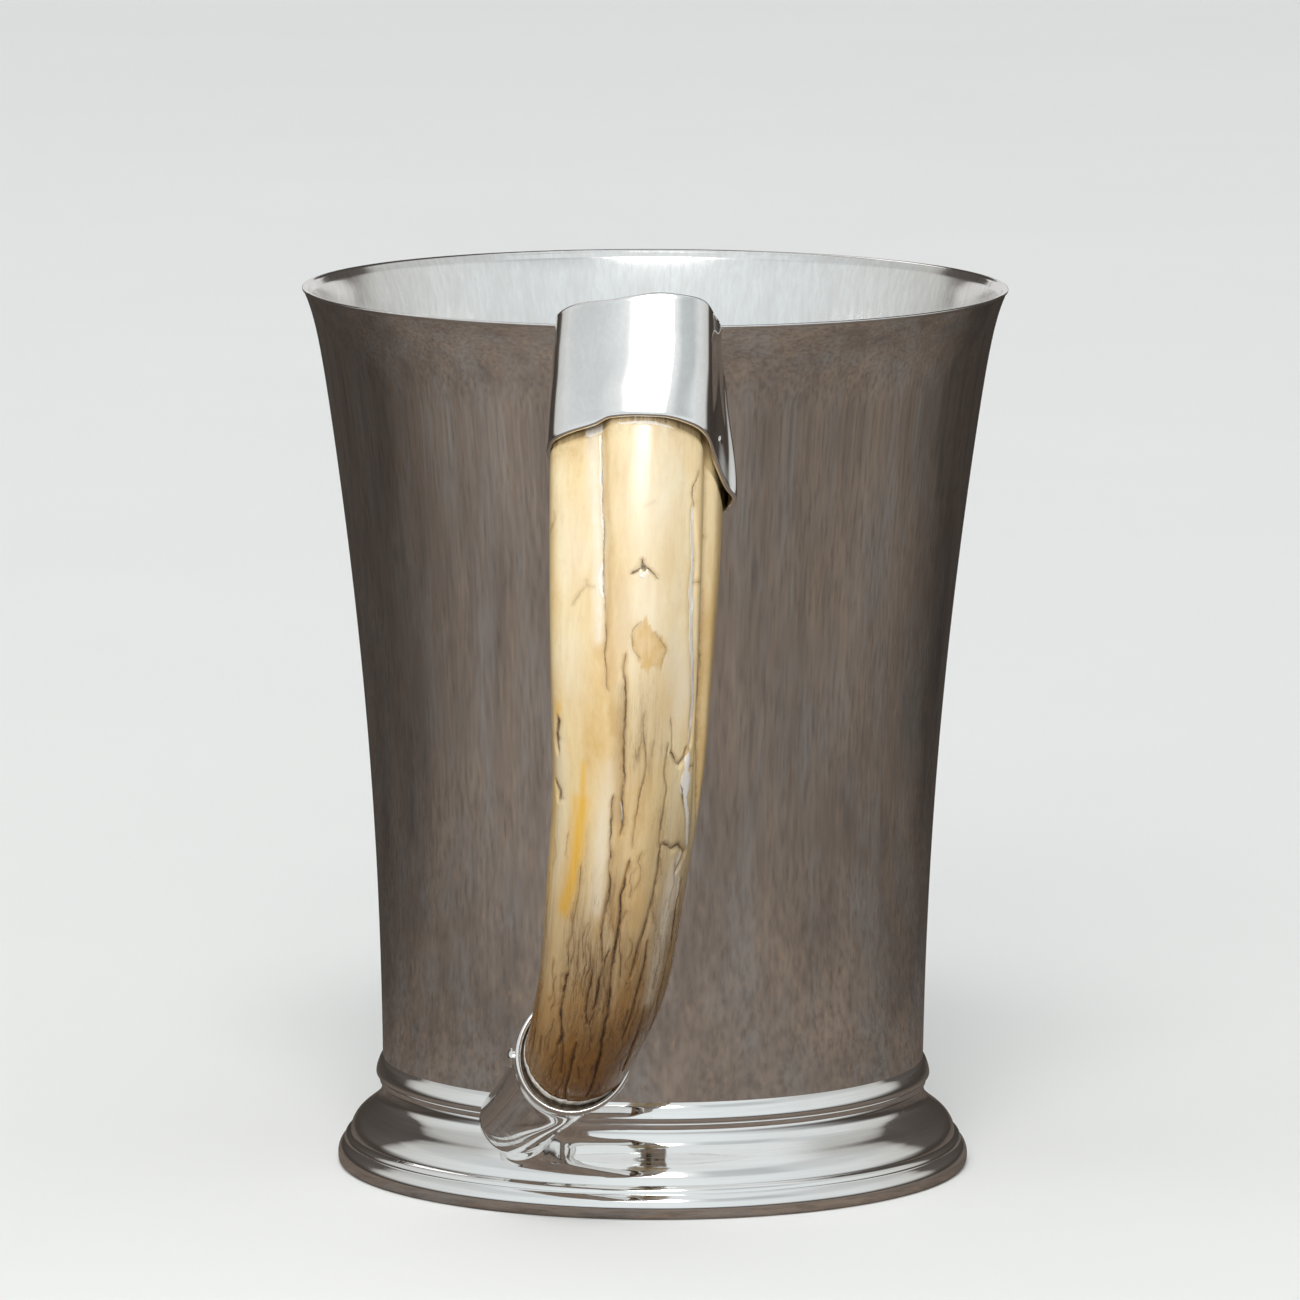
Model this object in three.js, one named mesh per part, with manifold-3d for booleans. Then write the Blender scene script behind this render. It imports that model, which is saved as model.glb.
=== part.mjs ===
// Silver tankard with a tusk for a handle. Millimetres, +Z up, the handle
// towards -Y, the foot standing on Z = 0. The shapes are laid out about the
// cup's own axis and moved along Y at the end, so that the origin is the bottom
// centre of the whole object.
import * as THREE from 'three';
import { ParametricGeometry } from 'three/addons/geometries/ParametricGeometry.js';
import { mergeVertices } from 'three/addons/utils/BufferGeometryUtils.js';
import Module from 'manifold-3d';

// ---------------------------------------------------------------- dimensions
const SEG = 48; // facets round the turned pieces
const AROUND = 36; // facets round the handle's pieces
const GAP = 0.3; // clearance where one piece is fitted against another

const WALL = 0.95; // thickness of the cup's wall
const RIM_Z = 140; // height of the rim
// outside of the wall, bottom to lip, [radius, height]
const BODY_OUTER = [
  [43.0, 12.75], [43.05, 19], [43.25, 31], [43.9, 45], [44.8, 60], [45.9, 75],
  [47.3, 90], [49.15, 105], [51.0, 118], [52.5, 128], [53.6, 134], [54.75, 138],
  [55.5, 139.45],
];
const LIP = [[55.7, 139.72], [55.55, RIM_Z], [55.0, 139.95]];
const FLOOR_Z = 13.3; // underside of the cup's bottom
const FLOOR_T = 1.1;

const GIRDLE = [ // half-round moulding with a fine lower fillet
  [43.15, 12.95], [43.44, 12.95], [43.52, 13.15], [43.52, 13.68], [43.46, 13.86], [43.82, 14.0],
  [44.04, 14.3], [44.06, 14.62], [43.93, 15.3], [43.7, 16.0], [43.42, 16.65], [43.15, 17.15],
];
// outside of the foot, neck to skirt
const FOOT_OUTER = [
  [41.2, 12.6], [42.95, 12.6], [43.12, 12.1], [43.3, 11.25], [43.66, 10.45],
  [44.33, 9.75], [45.2, 9.0], [46.2, 8.25], [47.1, 7.4], [47.8, 6.3],
  [48.2, 5.1], [48.2, 0.5],
];
const FOOT_T = 0.9;
const RIM_WIRE = [ // two beads on a flat base
  [48.35, 0], [49.7, 0], [50.02, 0.35], [50.16, 1.3], [50.08, 2.1], [49.8, 2.9],
  [49.4, 3.45], [49.12, 3.72], [49.05, 4.1], [48.8, 4.6], [48.35, 4.9],
];

// tusk: centreline knots from above the root to below the tip, half width, half depth
const TUSK_X = [-1.5, -2.1, -2.76, -3.22, -3.75, -4.28, -5.87, -7.39, -9.85, -12.45, -16.3];
const TUSK_Y = [-57.8, -66.4, -74.9, -82.4, -86.0, -86.6, -84.3, -78.9, -71.6, -63.2, -54.0];
const TUSK_Z = [156.0, 140.8, 124.0, 105.5, 88.0, 72.0, 57.0, 44.2, 34.5, 26.95, 21.2];
const TUSK_A = [12.0, 12.45, 12.99, 12.61, 11.88, 11.18, 10.53, 9.93, 8.91, 7.7, 3.6];
const TUSK_B = [11.3, 11.4, 11.6, 11.6, 11.3, 11.0, 10.4, 9.4, 8.1, 7.0, 3.9];
const TUSK_TIP = 9.55; // knot number where the tip ends
const SEAT_CUT = 0.55; // how much the root is turned down inside the collar
const CAVITY_R = 5.6; // hollow of the root
const CAVITY_END = 2.5;

// collar: a sleeve cut by a sloping plane at the top, with a waved lower edge
const COLLAR_TOP = { y: -77.2, z: 146.6, slope: 0.46 };
const COLLAR_IN = -0.25; // offsets from the tusk's section
const COLLAR_OUT = 0.6;
const COLLAR_LOW = [ // [angle round the tusk from its front, knot number of the lower edge]
  [-180, 2.3], [-130, 2.14], [-90, 2.09], [-60, 2.085], [-40, 2.045], [-28, 2.015], [-17, 1.965],
  [0, 1.955], [15, 1.955], [35, 1.995], [50, 2.06], [60, 2.13], [68, 2.22], [78, 2.34], [95, 2.45],
  [120, 2.47], [150, 2.4], [180, 2.3],
];
const COLLAR_FLARE = 0.85; // the right-hand lobe opens out at its lower edge
const COLLAR_DIP = 3.6; // and is lower at the top
const CAP_T = 0.9;
const CAP_DOME = 0.9;

// socket: a tapered tube from its mouth to a rounded toe on the foot
const SOCKET_MOUTH = [-11.96, -66.0, 29.27];
const SOCKET_TOE = [-21.4, -41.5, 14.2];
const SOCKET_BEND = [-15.0, -57.9, 23.1]; // the middle of its curve leans to this point
const SOCKET_FACE = { lift: 22, turn: 2.3 }; // degrees: which way the mouth looks
const SOCKET_OVAL = { long: 9.95, short: 9.05, lean: 66 }; // the mouth's half sizes and lean
const SOCKET_R = [[0, 9.2], [0.08, 8.7], [0.2, 8.1], [0.35, 7.6], [0.55, 6.95], [0.8, 6.3], [1, 6.0]];
const SOCKET_WALL = 0.95;
const SOCKET_DEPTH = 0.6; // how far along the curve the hollow goes

const SADDLE = { x: 0.4, width: 16, top: 138.6, low: 126.5, archR: 5.6, archY: -56.8, archZ: 124.6 };

const PIN_R = 0.85;
const PIN_HEAD_R = 1.25;
const PIN_HEAD_T = 0.6;

// ------------------------------------------------------------------- helpers
const wasm = await Module();
wasm.setup();
const V = (x, y, z) => new THREE.Vector3(x, y, z);

function solid(geometry) {
  const flat = geometry.index ? geometry.toNonIndexed() : geometry;
  const bare = new THREE.BufferGeometry().setAttribute('position', flat.getAttribute('position'));
  const m = mergeVertices(bare, 1e-4);
  const p = m.attributes.position, ix = m.index.array, tri = [];
  let volume = 0;
  const a = V(), b = V(), c = V();
  for (let i = 0; i < ix.length; i += 3) {
    const [j, k, l] = [ix[i], ix[i + 1], ix[i + 2]];
    if (j === k || k === l || l === j) continue;
    tri.push(j, k, l);
    volume += a.fromBufferAttribute(p, j).dot(b.fromBufferAttribute(p, k).cross(c.fromBufferAttribute(p, l)));
  }
  if (volume < 0) for (let i = 0; i < tri.length; i += 3) [tri[i + 1], tri[i + 2]] = [tri[i + 2], tri[i + 1]];
  return new wasm.Manifold(new wasm.Mesh({
    numProp: 3, vertProperties: new Float32Array(p.array), triVerts: new Uint32Array(tri),
  }));
}

const biggest = (s) => s.decompose().sort((a, b) => b.volume() - a.volume())[0];

function lathe(points) {
  const g = new THREE.LatheGeometry(points.map(([r, z]) => new THREE.Vector2(r, z)), SEG);
  g.rotateX(Math.PI / 2);
  return solid(g);
}
const ring = (points) => lathe([...points, points[0]]);

// the points of a profile moved along its own normal
function inset(points, t) {
  return points.map((p, i) => {
    const q = points[Math.max(i - 1, 0)], n = points[Math.min(i + 1, points.length - 1)];
    const dx = n[0] - q[0], dz = n[1] - q[1], l = Math.hypot(dx, dz);
    return [p[0] - (t * dz) / l, p[1] + (t * dx) / l];
  });
}

// a body through closed rings, each a function of the angle; a body closes on a point or on itself
function loft(rings, around = AROUND) {
  const last = rings.length - 1;
  return solid(new ParametricGeometry((u, v, target) => {
    target.copy(rings[Math.min(last, Math.max(0, Math.round(v * last)))](u * 2 * Math.PI));
  }, around, last));
}

function spline(a, t) {
  const n = a.length, i = Math.min(Math.max(Math.floor(t), 0), n - 2), w = t - i;
  const p0 = i > 0 ? a[i - 1] : 2 * a[0] - a[1], p1 = a[i], p2 = a[i + 1];
  const p3 = i < n - 2 ? a[i + 2] : 2 * a[n - 1] - a[n - 2];
  const t0 = 0.5 * (p2 - p0), t1 = 0.5 * (p3 - p1);
  return p1 + t0 * w + (-3 * p1 + 3 * p2 - 2 * t0 - t1) * w * w + (2 * p1 - 2 * p2 + t0 + t1) * w * w * w;
}
const bump = (d, d0, w) => {
  const x = ((((d - d0 + 180) % 360) + 360) % 360) - 180;
  return Math.exp(-((x / w) ** 2));
};
const fade = (x, a, b) => {
  const k = Math.min(Math.max((x - a) / (b - a), 0), 1);
  return k * k * (3 - 2 * k);
};

// ---------------------------------------------------------- the tusk's section
const centre = (t) => V(spline(TUSK_X, t), spline(TUSK_Y, t), spline(TUSK_Z, t));

function axes(t) {
  const along = centre(Math.min(t + 1e-3, 10)).sub(centre(Math.max(t - 1e-3, 0))).normalize();
  const right = V(1, 0, 0).addScaledVector(along, -along.x).normalize();
  return { along, right, front: along.clone().cross(right) };
}

// lobes and grooves: left lobe, middle lobe, narrow right-hand lobe, flatter back; the collar's
// sheet follows them only loosely, with a broad flat front and firm corners
function lobes(t, angle, sheet = false) {
  const d = THREE.MathUtils.radToDeg(angle);
  const f1 = 1 - fade(t, 3.0, 4.0), f3 = 1 - fade(t, 4.2, 5.6);
  const left = -26 + 4.2 * (Math.min(Math.max(t, 1), 4) - 2.06);
  const valley = 61 + 3.7 * (Math.min(Math.max(t, 1), 5) - 2.05);
  const side = ((((d - left + 180) % 360) + 360) % 360) - 180;
  const slim = 0.5 - 1.5 * (1 - fade(t, 1.2, 2.4)); // the right-hand lobe stands out only lower down
  if (sheet) return 0.13 * bump(d, left, side < 0 ? 15 : 10) - 0.62 * bump(d, valley, 14)
    + (1.87 - 0.4 * fade(t, 1.45, 2.0)) * bump(d, 40, 21) + 1.24 * bump(d, -54.7, 17.9) + 0.22 * bump(d, 14, 20)
    + slim * bump(d, 92, 18) - 0.7 * bump(d, 180, 40);
  return -0.9 * f1 * bump(d, left, side < 0 ? 13 : 6)
    - 1.35 * f3 * bump(d, valley, 7) + 0.45 * f3 * bump(d, valley - 17, 10)
    + 1.1 * (1 - fade(t, 3.2, 6)) * bump(d, -62, 15) - 0.3 * fade(t, 3.5, 5) * bump(d, -55, 28)
    + 0.55 * (1 - fade(t, 5, 8)) * bump(d, 14, 20)
    + slim * f3 * bump(d, 92, 18) - 0.7 * (1 - fade(t, 6, 9)) * bump(d, 180, 40);
}

function section(t, angle, offset = 0, sheet = false) {
  const { right, front } = axes(t), l = lobes(t, angle, sheet) + offset;
  return centre(t)
    .addScaledVector(right, (spline(TUSK_A, t) + l) * Math.sin(angle))
    .addScaledVector(front, (spline(TUSK_B, t) + l) * Math.cos(angle));
}

// where the section line at an angle meets the collar's top plane, lowered by some depth
function topKnot(angle, offset, depth, sheet = false) {
  const d = THREE.MathUtils.radToDeg(angle);
  const dip = COLLAR_DIP * bump(d, 95, 30) + 0.55 * bump(d, -24, 16) + 0.9 * bump(d, -60, 18)
    - 0.4 * bump(d, 13, 13) + 0.8 * bump(d, 54, 11);
  let lo = -0.2, hi = 1.9;
  for (let i = 0; i < 48; i++) {
    const mid = (lo + hi) / 2, p = section(mid, angle, offset, sheet);
    if (p.z > COLLAR_TOP.z - COLLAR_TOP.slope * (p.y - COLLAR_TOP.y) - depth - dip) lo = mid;
    else hi = mid;
  }
  return (lo + hi) / 2;
}

function lowKnot(angle) {
  const d = ((((THREE.MathUtils.radToDeg(angle) + 180) % 360) + 360) % 360) - 180;
  for (let i = 1; i < COLLAR_LOW.length; i++) {
    const [a0, t0] = COLLAR_LOW[i - 1], [a1, t1] = COLLAR_LOW[i];
    if (d <= a1) return t0 + (t1 - t0) * fade(d, a0, a1);
  }
  return COLLAR_LOW[0][1];
}

const mix = (a, b, f) => a + (b - a) * f;

// --------------------------------------------------------------- turned pieces
const outer = BODY_OUTER;
const innerWall = inset(outer, WALL).reverse();
innerWall[0] = [54.55, 139.55];
const bodyWall = ring([...outer, ...LIP, ...innerWall]);
const floorR = 43.0 - WALL - 0.1;
const floorDisc = lathe([[0, FLOOR_Z], [floorR, FLOOR_Z], [floorR, FLOOR_Z + FLOOR_T], [0, FLOOR_Z + FLOOR_T]]);
const girdle = ring(GIRDLE);
const footInner = inset(FOOT_OUTER.slice(2, -1), -FOOT_T).reverse();
const footDome = ring([...FOOT_OUTER, [48.2 - FOOT_T, 0.5], ...footInner, [41.2, 12.6 - FOOT_T]]);
const rimWire = ring(RIM_WIRE);

// the outside of the cup, grown by the clearance, that the handle's pieces are fitted to
const grown = (points) => points.map(([r, z]) => [r + GAP, z]);
const cupShape = lathe([
  [0, 0], [50.16 + GAP, 0], ...grown(RIM_WIRE.slice(3)), ...grown(FOOT_OUTER.slice(3, 10)).reverse(),
  ...grown(GIRDLE.slice(1, -1)), ...grown(BODY_OUTER.slice(1)), [56.0, 139.72], [56.0, 165], [0, 165],
].sort((p, q) => p[1] - q[1] || (p[1] < 1 ? p[0] - q[0] : q[0] - p[0])));

// --------------------------------------------------------------------- collar
const sleeveRing = (offset, f) => (angle) => {
  const flare = COLLAR_FLARE * bump(THREE.MathUtils.radToDeg(angle), 95, 26) * fade(f, 0.35, 1);
  return section(mix(topKnot(angle, offset, 0, true), lowKnot(angle), f), angle, offset + flare, true);
};
const sleeveSteps = [0, 0.3, 0.55, 0.78, 1];
const sleeve = loft([
  ...sleeveSteps.map((f) => sleeveRing(COLLAR_OUT, f)),
  ...sleeveSteps.toReversed().map((f) => sleeveRing(COLLAR_IN, f)),
  sleeveRing(COLLAR_OUT, 0),
]);
const topNormal = V(0, COLLAR_TOP.slope, 1).normalize();
const capEdge = (angle) => section(topKnot(angle, COLLAR_OUT, 0, true), angle, COLLAR_OUT, true);
const capMiddle = V();
for (let i = 0; i < 24; i++) capMiddle.add(capEdge((i * Math.PI) / 12).multiplyScalar(1 / 24));
const capRing = (f, h) => (angle) => capMiddle.clone().lerp(capEdge(angle), f).addScaledVector(topNormal, h);
const cap = loft([
  capRing(0, 0.12), capRing(1, 0.12), capRing(1, CAP_T * 0.5), capRing(0.965, CAP_T),
  capRing(0.6, CAP_T + CAP_DOME * 0.62), capRing(0, CAP_T + CAP_DOME),
]);

// ----------------------------------------------------------------------- tusk
const rootKnot = (angle) => topKnot(angle, -SEAT_CUT, 3.2);
const rootMiddle = V();
for (let i = 0; i < 24; i++) {
  const a = (i * Math.PI) / 12;
  rootMiddle.add(section(rootKnot(a), a, -SEAT_CUT).multiplyScalar(1 / 24));
}
const cavityEnd = centre(CAVITY_END);
// a ring of the hollow: 0 at the root's end face, 1 at its point
const hollowRing = (f, shrink) => (angle) => {
  const edge = section(rootKnot(angle), angle, -SEAT_CUT).sub(rootMiddle);
  const r = Math.max(CAVITY_R * (1 - 0.86 * f) - shrink, 0);
  return rootMiddle.clone().addScaledVector(edge, r / 12).lerp(
    cavityEnd.clone().addScaledVector(edge, r / 12), f);
};
const seatRing = (f) => (angle) => section(mix(rootKnot(angle), lowKnot(angle) + 0.02, f), angle, -SEAT_CUT);
const bareRing = (f) => (angle) => section(mix(lowKnot(angle) + 0.02, TUSK_TIP, f), angle, 0);
const bareSteps = [];
for (let i = 0; i <= 24; i++) bareSteps.push(i / 24);
const tuskWhole = loft([
  () => cavityEnd.clone(), hollowRing(0.92, 0), hollowRing(0.45, 0), hollowRing(0, 0),
  seatRing(0), seatRing(0.5), seatRing(1), ...bareSteps.map(bareRing), () => centre(TUSK_TIP + 0.12),
]);
const rootCementWhole = loft([
  () => rootMiddle.clone().addScaledVector(topNormal, 2.8),
  (angle) => section(topKnot(angle, COLLAR_IN - GAP, 0.4), angle, COLLAR_IN - GAP),
  (angle) => section(topKnot(angle, COLLAR_IN - GAP, 2.8), angle, COLLAR_IN - GAP),
  (angle) => hollowRing(0, 0.4)(angle).addScaledVector(topNormal, 0.35),
  hollowRing(0.3, 0.4), hollowRing(0.8, 0.4),
  () => rootMiddle.clone().lerp(cavityEnd, 0.9),
]);

// --------------------------------------------------------------------- socket
const socketCurve = new THREE.QuadraticBezierCurve3(V(...SOCKET_MOUTH), V(...SOCKET_BEND), V(...SOCKET_TOE));
const [lift, turn, lean] = [SOCKET_FACE.lift, SOCKET_FACE.turn, SOCKET_OVAL.lean].map(THREE.MathUtils.degToRad);
const faceOut = V(Math.sin(turn) * Math.cos(lift), -Math.cos(turn) * Math.cos(lift), Math.sin(lift));
const faceRight = V(0, 0, 1).cross(faceOut).normalize(), faceUp = faceOut.clone().cross(faceRight);
function socketRing(f, radius, ahead = 0) {
  const p = socketCurve.getPoint(f), d = socketCurve.getTangent(f);
  const right = V(1, 0, 0).addScaledVector(d, -d.x).normalize(), front = d.clone().cross(right);
  const round = fade(f, 0, 0.42), shrink = SOCKET_R[0][1] * (1 - 0.3 * f) - radius;
  p.addScaledVector(d.clone().lerp(faceOut.clone().negate(), 1 - round).normalize(), ahead);
  return (angle) => {
    if (radius === 0) return p.clone();
    const s = Math.sin(angle), c = Math.cos(angle), turned = Math.atan2(-c, s) - lean;
    const oval = 1 / Math.hypot(Math.cos(turned) / SOCKET_OVAL.long, Math.sin(turned) / SOCKET_OVAL.short)
      * (1 - 0.3 * f) - shrink;
    const flat = faceRight.clone().multiplyScalar(oval * s).addScaledVector(faceUp, -oval * c);
    const tube = right.clone().multiplyScalar(radius * s).addScaledVector(front, radius * c);
    return p.clone().add(flat.lerp(tube, round));
  };
}
const toeR = SOCKET_R.at(-1)[1];
const toeRings = [25, 50, 72].map((a) => {
  const k = THREE.MathUtils.degToRad(a);
  return socketRing(1, toeR * Math.cos(k), toeR * Math.sin(k));
});
const socketBody = loft([
  socketRing(0, 0), ...SOCKET_R.map(([f, r]) => socketRing(f, r)), ...toeRings, socketRing(1, 0, toeR),
], 28);
function hollowR(f) {
  const i = Math.max(1, SOCKET_R.findIndex(([g]) => g >= f)), [f0, r0] = SOCKET_R[i - 1], [f1, r1] = SOCKET_R[i];
  return mix(r0, r1, (f - f0) / (f1 - f0)) - SOCKET_WALL;
}
// the hollow, from a start outside the mouth (below 0, in mm) or inside it (along the curve)
const socketHollow = (shrink, start) => loft([
  socketRing(Math.max(start, 0), 0, Math.min(start, 0)),
  socketRing(Math.max(start, 0), hollowR(Math.max(start, 0)) - shrink, Math.min(start, 0)),
  ...[0.08, 0.2, 0.35, 0.48].filter((f) => f > start).map((f) => socketRing(f, hollowR(f) - shrink)),
  socketRing(SOCKET_DEPTH, 4.4 - shrink), socketRing(SOCKET_DEPTH, 0, 1.2 - shrink),
], 28);
const tuskShape = (grow) => loft([
  () => centre(7.6), ...[7.6, 8, 8.4, 8.8, 9.1, 9.4, TUSK_TIP].map((t) => (angle) => section(t, angle, grow)),
  () => centre(TUSK_TIP + 0.12 + grow * 0.12),
], 28);
const socketWhole = socketBody.subtract(socketHollow(0, -4)).subtract(cupShape).subtract(tuskShape(GAP));
const tipCementWhole = socketHollow(GAP, 0.06).subtract(tuskShape(GAP));

// ----------------------------------------------------------------------- pins
// a pin with a domed head at a point, its shank running inwards along a direction
function pin(point, inwards, length, grow = 0) {
  const profile = [
    [0, -PIN_HEAD_T], [PIN_HEAD_R * 0.62, -PIN_HEAD_T * 0.78], [PIN_HEAD_R, -0.12], [PIN_HEAD_R, 0.05],
    [PIN_R, 0.05], [PIN_R, length], [0, length],
  ].map(([r, y]) => new THREE.Vector2(r === 0 ? 0 : r + grow, y + (y > 1 ? grow : y < 0 ? 0 : 0)));
  const g = new THREE.LatheGeometry(grow ? [
    new THREE.Vector2(0, -3), new THREE.Vector2(PIN_R + grow, -3),
    new THREE.Vector2(PIN_R + grow, length + grow), new THREE.Vector2(0, length + grow),
  ] : profile, 14);
  g.applyQuaternion(new THREE.Quaternion().setFromUnitVectors(V(0, 1, 0), inwards));
  g.translate(point.x, point.y, point.z);
  return solid(g);
}
const upperAngle = THREE.MathUtils.degToRad(70), upperKnot = 2.0;
const upperPoint = section(upperKnot, upperAngle, COLLAR_OUT + 0.75, true);
const upperIn = section(upperKnot, upperAngle, -8).sub(upperPoint).normalize();
const lowerF = 0.1;
const lowerSide = socketRing(lowerF, 8.6 + 0.7)(-Math.PI / 2);
const lowerIn = socketCurve.getPoint(lowerF).sub(lowerSide).normalize();
const upperPin = pin(upperPoint, upperIn, 7);
const lowerPin = pin(lowerSide, lowerIn, 9.5);
const upperHole = pin(upperPoint, upperIn, 7, 0.25), lowerHole = pin(lowerSide, lowerIn, 9.5, 0.25);

// the saddle fills the wedge between the sleeve's back and the wall
const sleeveShape = loft([
  () => centre(-0.1), ...[-0.1, 0.5, 1, 1.5, 2, 2.5, 2.9].map((t) => (angle) => section(t, angle, COLLAR_OUT + GAP, true)),
  () => centre(2.9),
]);
const block = new THREE.BoxGeometry(SADDLE.width, 30, SADDLE.top - SADDLE.low);
block.translate(SADDLE.x, -56, (SADDLE.top + SADDLE.low) / 2);
const arch = new THREE.CylinderGeometry(SADDLE.archR, SADDLE.archR, 40, 24);
arch.rotateZ(Math.PI / 2);
arch.translate(SADDLE.x, SADDLE.archY, SADDLE.archZ);
const saddle = biggest(solid(block).subtract(cupShape).subtract(sleeveShape).subtract(solid(arch)));

const tusk = biggest(tuskWhole.subtract(cupShape).subtract(upperHole).subtract(lowerHole));
const collar = biggest(sleeve.subtract(cupShape).subtract(upperHole));
const collarCap = biggest(cap.subtract(cupShape));
const rootCement = biggest(rootCementWhole.subtract(cupShape).subtract(upperHole));
const socket = biggest(socketWhole.subtract(lowerHole));
const tipCement = biggest(tipCementWhole.subtract(lowerHole));

// ------------------------------------------------------------------- assembly
const silver = new THREE.MeshStandardMaterial({ color: 0xd8d5cd, metalness: 1, roughness: 0.14 });
const ivory = new THREE.MeshStandardMaterial({ color: 0xdcc594, metalness: 0, roughness: 0.38 });
const bedding = new THREE.MeshStandardMaterial({ color: 0xcfc7b6, metalness: 0, roughness: 0.9 });

const cup = new THREE.Group();
for (const [name, body, material] of [
  ['body_wall', bodyWall, silver], ['floor_disc', floorDisc, silver], ['girdle_moulding', girdle, silver],
  ['foot_dome', footDome, silver], ['foot_rim_wire', rimWire, silver], ['tusk', tusk, ivory],
  ['upper_collar', collar, silver], ['collar_cap', collarCap, silver], ['collar_saddle', saddle, silver],
  ['upper_pin', upperPin, silver], ['root_cement', rootCement, bedding], ['lower_socket', socket, silver],
  ['lower_pin', lowerPin, silver], ['tip_cement', tipCement, bedding],
]) {
  const m = body.getMesh(), p = new Float32Array(m.numVert * 3);
  for (let i = 0; i < m.numVert; i++) p.set(m.vertProperties.subarray(i * m.numProp, i * m.numProp + 3), i * 3);
  const g = new THREE.BufferGeometry().setAttribute('position', new THREE.BufferAttribute(p, 3))
    .setIndex(new THREE.BufferAttribute(m.triVerts, 1));
  g.computeVertexNormals();
  const mesh = new THREE.Mesh(g, material);
  mesh.name = name;
  cup.add(mesh);
}
const box = new THREE.Box3().setFromObject(cup);
cup.position.set(-(box.min.x + box.max.x) / 2, -(box.min.y + box.max.y) / 2, -box.min.z);

const tankard = new THREE.Group();
tankard.name = 'tankard';
tankard.add(cup);
export default tankard;
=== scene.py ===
# Looks of the tusk-handled silver tankard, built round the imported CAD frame.
# Shapes are worked out in millimetres about the cup's own axis, with the handle
# towards -Y, and put into the shared frame in metres.
import math

import bpy
import numpy as np
from mathutils import Matrix, Vector
from mathutils.bvhtree import BVHTree


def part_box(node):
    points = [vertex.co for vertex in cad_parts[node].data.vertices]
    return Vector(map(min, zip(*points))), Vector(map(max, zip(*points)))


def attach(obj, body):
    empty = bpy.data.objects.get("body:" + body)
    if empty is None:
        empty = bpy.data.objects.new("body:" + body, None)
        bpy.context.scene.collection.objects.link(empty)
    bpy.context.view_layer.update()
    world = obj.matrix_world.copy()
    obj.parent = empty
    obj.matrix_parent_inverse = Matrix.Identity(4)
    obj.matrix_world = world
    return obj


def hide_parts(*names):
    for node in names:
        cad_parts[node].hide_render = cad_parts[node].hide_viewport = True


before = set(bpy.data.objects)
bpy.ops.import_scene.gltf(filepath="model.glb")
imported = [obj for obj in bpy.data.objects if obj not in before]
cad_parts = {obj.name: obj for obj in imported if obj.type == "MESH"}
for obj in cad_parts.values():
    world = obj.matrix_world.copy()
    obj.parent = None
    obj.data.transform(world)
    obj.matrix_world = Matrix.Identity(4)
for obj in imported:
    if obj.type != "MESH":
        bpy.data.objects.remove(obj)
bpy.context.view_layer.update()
wall_lo, wall_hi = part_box("body_wall")
SHIFT_Y = (wall_lo.y + wall_hi.y) / 2  # where the cup's axis stands in the shared frame

# ------------------------------------------------------------------ dimensions (mm)
GIRDLE = [(42.9, 12.9), (43.44, 12.95), (43.51, 13.12), (43.52, 13.3), (43.52, 13.55), (43.51, 13.72), (43.46, 13.86),
          (43.82, 14.0), (44.04, 14.3), (44.06, 14.62), (43.93, 15.3), (43.7, 16.0), (43.42, 16.65), (42.9, 17.3)]
FOOT = [(41.2, 12.75), (42.95, 13.0), (43.05, 12.6), (43.13, 12.1), (43.31, 11.25), (43.67, 10.45), (44.34, 9.75),
        (45.2, 9.0), (46.2, 8.25), (47.1, 7.4), (47.8, 6.3), (48.12, 5.3), (48.24, 4.6), (48.24, 0.5)]
RIM_WIRE = [(48.2, 0.0), (49.7, 0.0), (50.02, 0.35), (50.16, 1.3), (50.08, 2.1), (49.8, 2.9),
            (49.4, 3.45), (49.12, 3.72), (49.05, 4.1), (48.8, 4.6), (48.2, 4.95)]
TUSK_X = np.array([-1.5, -2.1, -2.76, -3.22, -3.75, -4.28, -5.87, -7.39, -9.85, -12.45, -16.3])
TUSK_Y = np.array([-57.8, -66.4, -74.9, -82.4, -86.0, -86.6, -84.3, -78.9, -71.6, -63.2, -54.0])
TUSK_Z = np.array([156.0, 140.8, 124.0, 105.5, 88.0, 72.0, 57.0, 44.2, 34.5, 26.95, 21.2])
TUSK_A = np.array([12.0, 12.45, 12.99, 12.61, 11.88, 11.18, 10.53, 9.93, 8.91, 7.7, 3.6])
TUSK_B = np.array([11.3, 11.4, 11.6, 11.6, 11.3, 11.0, 10.4, 9.4, 8.1, 7.0, 3.9])
TUSK_TIP = 9.55
COLLAR_LOW = [(-180, 2.3), (-130, 2.14), (-90, 2.09), (-60, 2.085), (-40, 2.045), (-28, 2.015), (-17, 1.965),
              (0, 1.955), (15, 1.955), (35, 1.995), (50, 2.06), (60, 2.13), (68, 2.22), (78, 2.34), (95, 2.45),
              (120, 2.47), (150, 2.4), (180, 2.3)]
COLLAR_TOP_Y, COLLAR_TOP_Z, COLLAR_SLOPE = -77.2, 146.6, 0.46
COLLAR_DIP = 3.6
COLLAR_IN, COLLAR_OUT = -0.25, 0.6
MOUTH = np.array([-11.96, -66.0, 29.27])
BEND = np.array([-15.0, -57.9, 23.1])
TOE = np.array([-21.4, -41.5, 14.2])
SOCKET_R = [(0, 9.2), (0.08, 8.7), (0.2, 8.1), (0.35, 7.6), (0.55, 6.95), (0.8, 6.1), (1, 5.6)]
OVAL_LONG, OVAL_SHORT, OVAL_LEAN = 9.95, 9.05, math.radians(66)
FACE_LIFT, FACE_TURN = math.radians(22), math.radians(2.3)


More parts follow.
